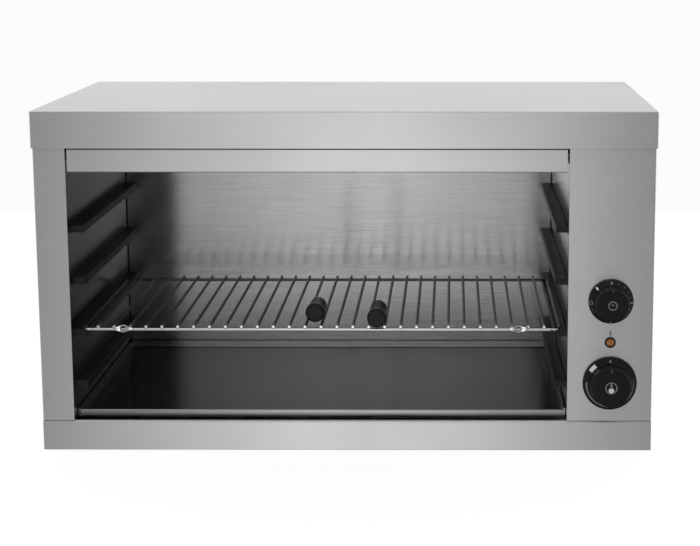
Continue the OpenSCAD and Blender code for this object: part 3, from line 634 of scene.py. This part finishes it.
def makeBodySheets(c):
    t, bend = c["thickness"], c["bend"]
    low, high = boxOf("left_side_panel")
    # Pillar and panel stand just above the bottom rail; below that the side sheets are flat
    foot = boxOf("bottom_front_rail")[1].z + c["gap"]
    bm = bmesh.new()
    path = [(high.x, low.y), (low.x, low.y), (low.x, high.y), (low.x + c["backFlange"], high.y)]
    addPrism(bm, foldedOutline(path[::-1], t, bend), "Z", foot, high.z)
    addPrism(bm, [(low.x, low.y + 1.05), (low.x + t, low.y + 1.05), (low.x + t, high.y), (low.x, high.y)],
             "Z", low.z, foot)
    standFor(makeObject("leftSideSheet", bm), "cabinet", "left_side_panel")

    low, high = boxOf("right_side_panel")
    front = boxOf("control_panel")[0]
    bm = bmesh.new()
    path = [(high.x, front.y + c["wrap"] + 0.25), (high.x, high.y), (high.x - c["backFlange"], high.y)]
    addPrism(bm, foldedOutline(path, t, [bend]), "Z", foot, high.z)
    addPrism(bm, [(high.x - t, low.y + 0.05), (high.x, low.y + 0.05), (high.x, high.y), (high.x - t, high.y)],
             "Z", low.z, foot)
    standFor(makeObject("rightSideSheet", bm), "cabinet", "right_side_panel")

    bm = bmesh.new()
    path = [(front.x, front.y + 9), (front.x, front.y), (high.x, front.y), (high.x, front.y + c["wrap"])]
    addPrism(bm, foldedOutline(path, t, [0.9, bend]), "Z", foot, boxOf("control_panel")[1].z)
    standFor(makeObject("controlPanelSheet", bm), "cabinet", "control_panel")

    low, high = boxOf("upper_front_rail")
    bm = bmesh.new()
    # The rail turns in just under the hood, which leaves a dark reveal, and runs on up behind it
    top, back = boxOf("hood")[0].z - c["reveal"], low.y + c["revealDepth"]
    path = [(back, high.z), (back, top), (low.y, top), (low.y, low.z), (high.y, low.z)]
    addPrism(bm, foldedOutline(path, t, [1.2, 1.2, bend]), "X", low.x, high.x)
    standFor(makeObject("upperRailSheet", bm), "cabinet", "upper_front_rail")

    low, high = boxOf("bottom_front_rail")
    bm = bmesh.new()
    # The rail turns down again behind its rounded top, which leaves a dark gap in front of the tray
    turn = low.y + c["railTopDepth"]
    path = [(low.y + 14, low.z), (low.y, low.z), (low.y, high.z), (turn, high.z), (turn, high.z - c["railTopDrop"])]
    bends = [1.2, c["railTopBend"], c["railBottomBend"]]
    addPrism(bm, foldedOutline(path[::-1], t, bends, 7), "X", low.x, high.x)
    standFor(makeObject("bottomRailSheet", bm), "cabinet", "bottom_front_rail")


def makeSeams(c):
    # Painted shade: dark strips stand in the two back corners of the oven, where shade falls in the fold
    low, high = boxOf("back_liner")
    left, right = boxOf("left_liner")[1].x, boxOf("right_liner")[0].x
    bm = bmesh.new()
    for x, side in ((left, 1), (right, -1)):
        ends = sorted((x, x + side * c["cornerShadeWidth"]))
        addPrism(bm, [(ends[0], low.y - 0.4), (ends[1], low.y - 0.4), (ends[1], low.y), (ends[0], low.y)],
                 "Z", low.z + 1, boxOf("ceiling_reflector")[0].z)
    obj = makeObject("cornerShadeStrips", bm)
    obj.data.materials.append(materials["runner_black"])
    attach(obj, "cabinet")


crumbTray = {"thickness": 0.8, "bend": 1.8, "roll": 1.2, "rollWidth": 3.0, "frontLip": 8.7}


def makeTray(c):
    low, high = boxOf("crumb_tray")
    t = c["thickness"]
    lip, roll = low.z + c["frontLip"], c["rollWidth"]
    bm = bmesh.new()
    # Front and back lips with the floor between them, as one folded sheet
    path = [(low.y + roll, lip), (low.y, lip), (low.y, low.z), (high.y, low.z), (high.y, high.z),
            (high.y - roll, high.z)]
    addPrism(bm, foldedOutline(path, t, [c["roll"], c["bend"], c["bend"], c["roll"]]),
             "X", low.x + t, high.x - t)
    for x, side in ((low.x, 1), (high.x, -1)):
        path = [(x + side * 8, low.z + 0.02), (x, low.z + 0.02), (x, high.z), (x + side * roll, high.z)]
        bends = [c["bend"], c["roll"]]
        outline = foldedOutline(path, t, bends) if side < 0 else foldedOutline(path[::-1], t, bends[::-1])
        addPrism(bm, outline, "Y", low.y + 0.6, high.y - 0.6)
    return standFor(makeObject("crumbTrayPan", bm), "tray", "crumb_tray")


runnerChannel = {"thickness": 1.0, "bend": 1.6}


def makeRunner(c, node):
    low, high = boxOf(node)
    bm = bmesh.new()
    path = [(low.x, low.z), (low.x, high.z), (high.x, high.z), (high.x, low.z)]
    addPrism(bm, foldedOutline(path[::-1], c["thickness"], [c["bend"], c["bend"]], 4), "Y", low.y, high.y)
    # Closed nose at the front, cut back at the bottom
    nose = roundPath([(low.x + 0.4, high.z - 0.6), (high.x - 0.4, high.z - 0.6), (high.x - 0.4, low.z + 1.2),
                      (low.x + 0.4, low.z + 1.2)], 0.8, 3, True)
    addPrism(bm, nose, "Y", low.y + 0.4, low.y + 1.4)
    return standFor(makeObject(node + "_channel", bm), "cabinet", node)


rackWires = {"corner": 12.0, "weld": (1.9, 1.9, 0.9), "wireSides": 18, "crossCount": 29, "crossSides": 12}


def makeRack(c):
    low, high = boxOf("rack_left_wire")
    right = boxOf("rack_right_wire")[1].x
    r = (high.z - low.z) / 2
    z = low.z + r
    corners = [(low.x + r, low.y + r, z), (right - r, low.y + r, z), (right - r, high.y - r, z),
               (low.x + r, high.y - r, z)]
    bm = bmesh.new()
    addTube(bm, roundPath(corners, c["corner"], 10, True), r, c["wireSides"], True)
    standFor(makeObject("rackFrame", bm), "rack", "rack_front_wire", "rack_back_wire",
             "rack_left_wire", "rack_right_wire")

    first, last = boxOf("rack_cross_wires")
    wire = (last.z - first.z) / 2
    pitch = (last.x - first.x - 2 * wire) / (c["crossCount"] - 1)
    bm = bmesh.new()
    for i in range(c["crossCount"]):
        x = first.x + wire + i * pitch
        addTube(bm, [(x, first.y, first.z + wire), (x, last.y, first.z + wire)], wire, c["crossSides"])
        for y in (low.y + r, high.y - r):
            bead(bm, (x, y, z + r * 0.92), c["weld"], 10)
    standFor(makeObject("rackCrossWires", bm), "rack", "rack_cross_wires")


eyelet = {"hole": 3.3, "halfLength": 12, "middle": 5.0, "tip": 1.9, "edge": 0.7, "steps": 48}


def makeEyelets(c):
    # Flat eye-shaped plates with a round hole
    low, high = boxOf("rack_eyelets")
    centreZ = (low.z + high.z) / 2
    bm = bmesh.new()
    count = c["steps"]
    for centreX in (low.x + c["halfLength"], high.x - c["halfLength"]):
        outer, inner = [], []
        reach = c["halfLength"] - c["tip"]
        lean = math.acos((c["middle"] - c["tip"]) / reach)
        for k in range(count):
            angle = 2 * math.pi * (k + 0.5) / count
            side = 1 if math.cos(angle) >= 0 else -1
            fold = math.acos(abs(math.cos(angle)))
            up = 1 if math.sin(angle) >= 0 else -1
            if fold > lean:
                point = (c["middle"] * math.cos(fold), c["middle"] * math.sin(fold))
            else:
                spread = min(fold / lean * 2, 1)
                tipPoint = (reach + c["tip"] * math.cos(lean * spread), c["tip"] * math.sin(lean * spread))
                t = max(fold / lean * 2 - 1, 0)
                joined = (c["middle"] * math.cos(lean), c["middle"] * math.sin(lean))
                point = tuple(a * (1 - t) + b * t for a, b in zip(tipPoint, joined))
            outer.append(Vector((centreX + side * point[0], centreZ + up * point[1])))
            inner.append(Vector((centreX, centreZ)) + Vector((math.cos(angle), math.sin(angle))) * c["hole"])
        e = c["edge"]
        loops = []
        for ring, grow, y in ((inner, 0, high.y), (inner, 0, low.y + e), (inner, e, low.y),
                              (outer, -e, low.y), (outer, 0, low.y + e), (outer, 0, high.y)):
            centre = Vector((centreX, centreZ))
            loops.append([bm.verts.new((p.x + (p - centre).normalized().x * grow, y,
                                        p.y + (p - centre).normalized().y * grow)) for p in ring])
        loops.append(loops[0])
        for a, b in zip(loops, loops[1:]):
            for i in range(count):
                j = (i + 1) % count
                bm.faces.new((a[i], a[j], b[j], b[i]))
    standFor(makeObject("rackEyelets", bm, 50), "rack", "rack_eyelets")


grip = {"discRadius": 11.9, "discLength": 8.0, "neckRadius": 10.8, "tailRadius": 10.2, "endRadius": 6.5,
        "length": 62.0, "ferruleRadius": 11.85, "ferruleLength": 1.6, "studRadius": 3.0, "studLength": 28.0,
        "thread": 0.35}


def makeGrip(c, side):
    # The grip's own axis runs from the middle of its disc to its stud
    node = side + "_grip"
    studLow, studHigh = boxOf(node + "_stud")
    ferLow, ferHigh = boxOf(node + "_ferrule")
    ahead = (studLow + studHigh) / 2 - (ferLow + ferHigh) / 2
    axis = ahead.normalized()
    front = (ferLow + ferHigh) / 2 - axis * (c["discLength"] + c["ferruleLength"] / 2)
    body = side + "_loose_grip"
    disc, end = c["discLength"], c["discLength"] + c["ferruleLength"]
    seat = c["neckRadius"] - 0.6
    outline = roundPath([(0.5, 0), (0.5, c["discRadius"] - 3.2), (0, c["discRadius"] - 2.6), (0, c["discRadius"]),
                         (disc - 1.2, c["discRadius"]), (disc, c["discRadius"] - 1.0), (disc, seat), (end, seat),
                         (end, c["neckRadius"]), (c["length"] - 5.0, c["tailRadius"]),
                         (c["length"], c["endRadius"]), (c["length"], 0)],
                        [0.3, 0.3, 1.6, 0.5, 0.2, 0, 0, 0.5, 3.0, 1.5], 4)
    bm = bmesh.new()
    addLathe(bm, [tuple(p) for p in outline], front, axis, 48)
    standFor(makeObject(side + "GripBody", bm), body, node)
    bm = bmesh.new()
    ring = roundPath([(disc, seat), (disc, c["ferruleRadius"]), (end, c["ferruleRadius"]), (end, seat)],
                     [0.2, 0.35], 3)
    addLathe(bm, [tuple(p) for p in ring] + [tuple(ring[0])], front, axis, 48)
    standFor(makeObject(side + "GripFerrule", bm), body, node + "_ferrule")
    bm = bmesh.new()
    profile, h = [(c["length"] - 1, c["studRadius"])], c["length"] + 0.5
    while h < c["length"] + c["studLength"] - 1.2:
        profile += [(h, c["studRadius"]), (h + 0.4, c["studRadius"] - c["thread"])]
        h += 0.8
    tip = c["length"] + c["studLength"]
    profile += [(tip - 0.8, c["studRadius"]), (tip, c["studRadius"] - 0.8), (tip, 0)]
    addLathe(bm, profile, front, axis, 24)
    standFor(makeObject(side + "GripStud", bm), body, node + "_stud")


makeHood(hoodShell)
makeBodySheets(bodySheets)
makeSeams(bodySheets)
makeTray(crumbTray)
for side in ("left", "right"):
    for level in range(1, 5):
        makeRunner(runnerChannel, side + "_runner_" + str(level))
makeRack(rackWires)
makeEyelets(eyelet)
for side in ("left", "right"):
    makeGrip(grip, side)
print("sheets, rack and grips ready")

# skirt, shoulder and foot are heights above the panel, rim and lip are widths at the cap's top
knobShape = {"capShare": 0.765, "skirt": 3.0, "shoulder": 6.6, "foot": 7.6, "flare": 1.2, "rim": 1.2,
             "lip": 4.5, "floor": 5.2, "edge": 0.7, "capRound": 2.0, "dish": 0.35, "recess": 4.0, "bore": 3.2}


# Printed marks stand this far off the surface
inkLift = 0.07


class Knob:
    # Places points on a knob's face: radius from its middle, and angle clockwise from the top
    def __init__(self, node, c):
        self.low, self.high = boxOf(node)
        self.node = node
        self.centre = (self.low + self.high) / 2
        self.centre.y = self.high.y
        self.skirt = (self.high.x - self.low.x) / 2
        self.cap = self.skirt * c["capShare"]
        self.top = self.high.y - self.low.y
        self.shape = c

    def profile(self):
        s, cap, top, c = self.skirt, self.cap, self.top, self.shape
        floor = top - c["dish"]
        points = [(c["recess"], c["bore"]), (c["recess"], cap - 2), (0, cap - 2), (0, s), (c["skirt"], s),
                  (c["shoulder"], cap + c["flare"]), (c["foot"], cap + 0.2), (top, cap - c["rim"]),
                  (top, cap - c["lip"]), (floor, cap - c["floor"]), (floor, 0)]
        return roundPath(points, [0.3, 0.3, c["edge"], 1.0, 0.6, 0.8, c["capRound"], 0.4, 0.3], 4)

    def height(self, r):
        # How far the face stands out from the panel at a radius
        c, cap, top = self.shape, self.cap, self.top
        floor = top - c["dish"]
        steps = [(0, floor), (cap - c["floor"], floor), (cap - c["lip"], top), (cap - c["rim"], top),
                 (cap + 0.2, c["foot"]), (cap + c["flare"], c["shoulder"]), (self.skirt, c["skirt"])]
        for (r0, h0), (r1, h1) in zip(steps, steps[1:]):
            if r <= r1:
                return h0 + (h1 - h0) * (r - r0) / (r1 - r0)
        return c["skirt"]

    def point(self, r, angle, lift=inkLift):
        return Vector((self.centre.x + r * math.sin(angle), self.centre.y - self.height(r) - lift,
                       self.centre.z + r * math.cos(angle)))

    def patch(self, bm, r0, r1, a0, a1, steps=1):
        # Printed patch from angle a0 to a1; each radius is a number or changes with how far along it is
        rows = []
        for k in range(steps + 1):
            t = k / steps
            inner, outer = (v(t) if callable(v) else v for v in (r0, r1))
            a = a0 + (a1 - a0) * t
            rows.append([bm.verts.new(self.point(inner + (outer - inner) * q / 3, a)) for q in range(4)])
        for a, b in zip(rows, rows[1:]):
            for q in range(3):
                bm.faces.new((a[q], a[q + 1], b[q + 1], b[q]))

    def bar(self, bm, r0, r1, degrees, width):
        half = math.asin(width / 2 / ((r0 + r1) / 2))
        middle = math.radians(degrees)
        self.patch(bm, r0, r1, middle - half, middle + half, 3)

    def flat(self, bm, outline, hole=None):
        # Flat printed shape on the cap; outline is a list of (right, up) from the middle
        y = self.centre.y - self.top + self.shape["dish"] - inkLift
        rim = [bm.verts.new((self.centre.x + x, y, self.centre.z + z)) for x, z in outline]
        if hole is None:
            bm.faces.new(rim)
            return
        inner = [bm.verts.new((self.centre.x + x, y, self.centre.z + z)) for x, z in hole]
        for i in range(len(rim)):
            j = (i + 1) % len(rim)
            bm.faces.new((rim[i], rim[j], inner[j], inner[i]))

    def numeral(self, bm, text, r, degrees, size):
        curve = bpy.data.curves.new("numeral", "FONT")
        curve.body = text
        curve.size = size
        curve.align_x = "CENTER"
        holder = bpy.data.objects.new("numeral", curve)
        bpy.context.scene.collection.objects.link(holder)
        bpy.context.view_layer.update()
        mesh = bpy.data.meshes.new_from_object(holder.evaluated_get(bpy.context.evaluated_depsgraph_get()))
        middle = math.radians(degrees)
        made = [bm.verts.new(self.point(r + v.co.y - size * 0.35, middle + v.co.x / r)) for v in mesh.vertices]
        for face in mesh.polygons:
            bm.faces.new([made[i] for i in face.vertices])
        bpy.data.objects.remove(holder)
        bpy.data.meshes.remove(mesh)
        bpy.data.curves.remove(curve)


def circle(x, z, r, count=32):
    return [(x + r * math.cos(2 * math.pi * k / count), z + r * math.sin(2 * math.pi * k / count))
            for k in range(count)]


def hand(angle, length, width):
    # Clock hand from the middle, at an angle in degrees clockwise from the top
    a = math.radians(angle)
    along, side = Vector((math.sin(a), math.cos(a))), Vector((math.cos(a), -math.sin(a))) * width / 2
    return [tuple(-along * width / 2 - side), tuple(-along * width / 2 + side),
            tuple(along * length + side), tuple(along * length - side)]


def printed(name, bm, finish, body):
    obj = makeObject(name, bm)
    obj.data.materials.append(materials[finish])
    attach(obj, body)


def knobBody(knob, body):
    bm = bmesh.new()
    addLathe(bm, [tuple(p) for p in knob.profile()], knob.centre, faceFront, 96)
    standFor(makeObject(knob.node + "_cap", bm), body, knob.node)


# Angles in degrees clockwise from the top, then radii and widths
timerMarks = {"whiteBars": [(314, 22.4, 26.0, 2.3)], "greyBars": [(0, 22.4, 25.2, 2.0), (92, 23.0, 26.4, 1.8)],
              "numerals": [(20, "1"), (41, "2"), (59, "3"), (77, "4"), (112, "6"), (131, "7")],
              "loop": (268, 24.5, 1.9, 0.6), "dots": [(180, 25.0, 0.9), (247, 24.6, 0.5)],
              "clock": (5.6, 1.1), "hands": [(-38, 3.2, 0.8), (48, 2.4, 0.8)], "index": (17.9, 0.6)}

# The white patch at 313 degrees on the thermostat skirt is a painted highlight; the other marks are print
thermostatMarks = {"block": (313, 26.8, 31.3, 9.4), "zero": (0, 28.6, 3.6), "arc": (78, 275, 28.9, 1.8),
                   "ring": (7.4, 1.2), "stem": (2.4, 5.2), "bulb": 3.3, "index": (19.4, 23.2, 0.7)}


def makeTimerKnob(c):
    knob = Knob("timer_knob", knobShape)
    knobBody(knob, "timer_control")
    bm = bmesh.new()
    for degrees, r0, r1, width in c["whiteBars"]:
        knob.bar(bm, r0, r1, degrees, width)
    printed("timerPointMark", bm, "whitePrintAndHighlight", "timer_control")
    bm = bmesh.new()
    for degrees, r0, r1, width in c["greyBars"]:
        knob.bar(bm, r0, r1, degrees, width)
    for degrees, text in c["numerals"]:
        knob.numeral(bm, text, 24.3, degrees, 3.1)
    for degrees, r, size in c["dots"] + [(0, *c["index"])]:
        knob.bar(bm, r - size, r + size, degrees, 2 * size)
    degrees, r, size, width = c["loop"]
    knob.bar(bm, r - size, r - size + width, degrees, 2 * size)
    knob.bar(bm, r + size - width, r + size, degrees, 2 * size)
    for turn in (-4.4, 4.4):
        knob.bar(bm, r - size, r + size, degrees + turn, width)
    radius, width = c["clock"]
    knob.flat(bm, circle(0, 0, radius), circle(0, 0, radius - width))
    for angle, length, thick in c["hands"]:
        knob.flat(bm, hand(angle, length, thick))
    printed("timerDialMarks", bm, "printedGrey", "timer_control")


def makeThermostatKnob(c):
    knob = Knob("thermostat_knob", knobShape)
    knobBody(knob, "thermostat_control")
    bm = bmesh.new()
    # Painted highlight: a white patch on the skirt's upper-left shoulder, made with the white print
    degrees, r0, r1, width = c["block"]
    knob.bar(bm, r0, r1, degrees, width)
    degrees, r, size = c["zero"]
    knob.numeral(bm, "0", r, degrees, size)
    r = c["bulb"]
    knob.flat(bm, circle(0, -3.0, r))
    printed("thermostatWhitePrintAndHighlight", bm, "whitePrintAndHighlight", "thermostat_control")
    bm = bmesh.new()
    # The scale band grows wider clockwise
    start, end, r, width = c["arc"]
    knob.patch(bm, lambda t: r - width * (0.12 + 0.38 * t), lambda t: r + width * (0.12 + 0.38 * t),
               math.radians(start), math.radians(end), 60)
    inner, outer, width = c["index"]
    knob.bar(bm, inner, outer, 0, width)
    radius, width = c["ring"]
    knob.flat(bm, circle(0, 0, radius), circle(0, 0, radius - width))
    width, top = c["stem"]
    knob.flat(bm, roundPath([(-width / 2, -1), (width / 2, -1), (width / 2, top), (-width / 2, top)], 0.9, 4, True))
    printed("thermostatScaleMarks", bm, "printedGrey", "thermostat_control")


lampLens = {"facets": 18}


def makeLamp(c):
    low, high = boxOf("neon_lens")
    centre = Vector(((low.x + high.x) / 2, high.y, (low.z + high.z) / 2))
    r = (high.x - low.x) / 2
    top = high.y - low.y
    bm = bmesh.new()
    dome = roundPath([(0, r), (1.8, r), (top - 0.7, r - 0.9), (top, r - 2.6), (top, 0)], [0.3, 0.5, 1.0], 3)
    addLathe(bm, [tuple(p) for p in dome], centre, faceFront, 72,
             lambda angle, h, radius: radius * (1 - 0.012 * (1 + math.cos(c["facets"] * angle))))
    standFor(makeObject("lampLens", bm), "cabinet", "neon_lens")
    bezelLow, bezelHigh = boxOf("neon_bezel")
    outer = (bezelHigh.x - bezelLow.x) / 2
    rim = bezelHigh.y - bezelLow.y
    bm = bmesh.new()
    ring = roundPath([(0, outer), (rim, outer), (rim, r + 0.1), (0, r + 0.1)], [0.8, 0.4], 4)
    addLathe(bm, [tuple(p) for p in ring] + [tuple(ring[0])], centre, faceFront, 64)
    standFor(makeObject("lampBezel", bm), "cabinet", "neon_bezel")
    # Slim printed pointer above the lamp
    bm = bmesh.new()
    bm.faces.new([bm.verts.new((centre.x + x, centre.y - 0.06, centre.z + z))
                  for x, z in ((-1.1, 9.0), (1.1, 9.0), (0.25, 15.6), (-0.25, 15.6))])
    printed("lampPointer", bm, "printedDark", "cabinet")


screwHead = {"radius": 3.6, "height": 2.0, "slotWidth": 1.0, "slotLength": 4.4, "slotDepth": 1.3}


def slottedHead(c):
    # One pan head with a cross recess, pointing up, with its underside at height 0
    bm = bmesh.new()
    r, h = c["radius"], c["height"]
    dome = roundPath([(-6.0, 0), (-6.0, 1.6), (0, 1.6), (0, r), (h * 0.55, r), (h, r * 0.55), (h, 0)],
                     [0.4, 0.2, 0.3, 0.9, 1.0], 3)
    addLathe(bm, [tuple(p) for p in dome], (0, 0, 0), faceUp, 32)
    head = makeObject("screwBlank", bm)
    cutters = bmesh.new()
    w, length, depth = c["slotWidth"] / 2, c["slotLength"] / 2, c["slotDepth"]
    cross = [(w, w), (w, length), (-w, length), (-w, w), (-length, w), (-length, -w), (-w, -w), (-w, -length),
             (w, -length), (w, -w), (length, -w), (length, w)]
    addPrism(cutters, cross, "Z", h - depth, h + 1)
    cutter = makeObject("screwCutter", cutters)
    cut = head.modifiers.new("cross", "BOOLEAN")
    cut.operation = "DIFFERENCE"
    cut.object = cutter
    bpy.context.view_layer.update()
    mesh = bpy.data.meshes.new_from_object(head.evaluated_get(bpy.context.evaluated_depsgraph_get()))
    bpy.data.objects.remove(head)
    bpy.data.objects.remove(cutter)
    return mesh


def makeScrews(c):
    # The same head wherever the CAD has a casing screw, turned at random like hand-driven screws
    head = slottedHead(c)
    node = frame["nodes"]["casing_screws"]
    places = []
    for v in node.data.vertices:
        p = (node.matrix_world @ v.co) * 1000
        if not any((p - q).length < 14 and abs(p.y - q.y) < 14 for q in places):
            places.append(p)
    groups = [[] for _ in places]
    for v in node.data.vertices:
        p = (node.matrix_world @ v.co) * 1000
        groups[min(range(len(places)), key=lambda k: (places[k] - p).length)].append(p)
    bm = bmesh.new()
    for k, group in enumerate(groups):
        low = Vector(min(p[i] for p in group) for i in range(3))
        high = Vector(max(p[i] for p in group) for i in range(3))
        outward = faceFront if low.y < 0 else faceBack
        faceY = low.y + c["height"] if low.y < 0 else high.y - c["height"]
        turn = Matrix.Rotation(math.radians(37 * k % 90), 4, "Z")
        stand = outward.to_track_quat("Z", "X").to_matrix().to_4x4()
        place = Matrix.Translation(((low.x + high.x) / 2, faceY, (low.z + high.z) / 2)) @ stand @ turn
        start = len(bm.verts)
        bm.from_mesh(head)
        bm.verts.ensure_lookup_table()
        fresh = bm.verts[start:]
        bmesh.ops.scale(bm, vec=(1000, 1000, 1000), verts=fresh)
        bmesh.ops.transform(bm, matrix=place, verts=fresh)
    standFor(makeObject("casingScrewSet", bm), "cabinet", "casing_screws")
    bpy.data.meshes.remove(head)


cableEntry = {"bore": 4.6, "ribs": 18, "ribDepth": 0.7}


def makeCableEntry(c):
    low, high = boxOf("gland_cap")
    centre = Vector(((low.x + high.x) / 2, low.y, (low.z + high.z) / 2))
    r = (high.x - low.x) / 2
    length, bore = high.y - low.y, c["bore"]
    bm = bmesh.new()
    profile = roundPath([(0, bore), (0, r), (length - 6.5, r), (length - 2, r - 2.6), (length, bore + 1.6),
                         (length, bore)], [0.6, 1.0, 1.2, 0.3], 4)

    def rib(angle, h, radius):
        depth = c["ribDepth"] if radius > r - 1.2 and 1.0 < h < length - 6 else 0
        return radius - depth * (0.5 - 0.5 * math.cos(c["ribs"] * angle))

    points = [tuple(p) for p in profile]
    body = []
    for a, b in zip(points, points[1:] + points[:1]):
        steps = max(1, int(abs(b[0] - a[0]) // 1.2)) if a[1] > r - 0.5 and b[1] > r - 0.5 else 1
        body += [(a[0] + (b[0] - a[0]) * k / steps, a[1] + (b[1] - a[1]) * k / steps) for k in range(steps)]
    addLathe(bm, body + [body[0]], centre, faceBack, 144, rib)
    standFor(makeObject("glandCap", bm), "cabinet", "gland_cap")


earthPost = {"thread": 0.35, "pitch": 1.0}


def makeEarthPost(c):
    low, high = boxOf("earth_stud")
    centre = Vector(((low.x + high.x) / 2, low.y, (low.z + high.z) / 2))
    length = high.y - low.y
    profile, h = [(0, 0), (0, 2.6), (0.6, 3.1)], 0.6
    while h < length - 1.2:
        profile += [(h + c["pitch"] / 2, 3.0 - c["thread"]), (h + c["pitch"], 3.0)]
        h += c["pitch"]
    profile += [(length, 2.3), (length, 0)]
    bm = bmesh.new()
    addLathe(bm, profile, centre, faceBack, 32)
    standFor(makeObject("earthPost", bm), "cabinet", "earth_stud")


footPad = {"radius": 18.0, "grooves": 3, "grooveDepth": 0.45}


def makeFeet(c):
    low, high = boxOf("rubber_feet")
    r, h = c["radius"], high.z - low.z
    bm = bmesh.new()
    for x in (low.x + r, high.x - r):
        for y in (low.y + r, high.y - r):
            under = [(3.0, 2.7), (3.0, 5.5), (0, 5.5)]
            step = (r - 1.5 - 6.5) / c["grooves"]
            for k in range(c["grooves"]):
                a = 6.5 + (k + 0.35) * step
                under += [(0, a), (c["grooveDepth"], a + 0.3), (c["grooveDepth"], a + 1.1), (0, a + 1.4)]
            rim = [tuple(p) for p in roundPath([(0, r - 2), (0, r), (h, r), (h, 2.7)], [1.4, 0.4], 4)]
            profile = under + rim
            addLathe(bm, profile + [profile[0]], (x, y, low.z), faceUp, 48)
    standFor(makeObject("rubberFeet", bm), "cabinet", "rubber_feet")


makeTimerKnob(timerMarks)
makeThermostatKnob(thermostatMarks)
makeLamp(lampLens)
makeScrews(screwHead)
makeCableEntry(cableEntry)
makeEarthPost(earthPost)
makeFeet(footPad)
print("controls and fittings ready")

# CAD nodes that stay visible only need their edges eased
easedEdges = {"cable_gland": 0.5, "gland_locknut": 0.4, "earth_nuts": 0.4, "terminal_block": 0.8,
              "timer_body": 0.8, "thermostat_body": 0.8, "neon_body": 0.3, "foot_screws": 0.25}
for node, width in easedEdges.items():
    softBevel(frame["nodes"][node], width)
print("scene ready")
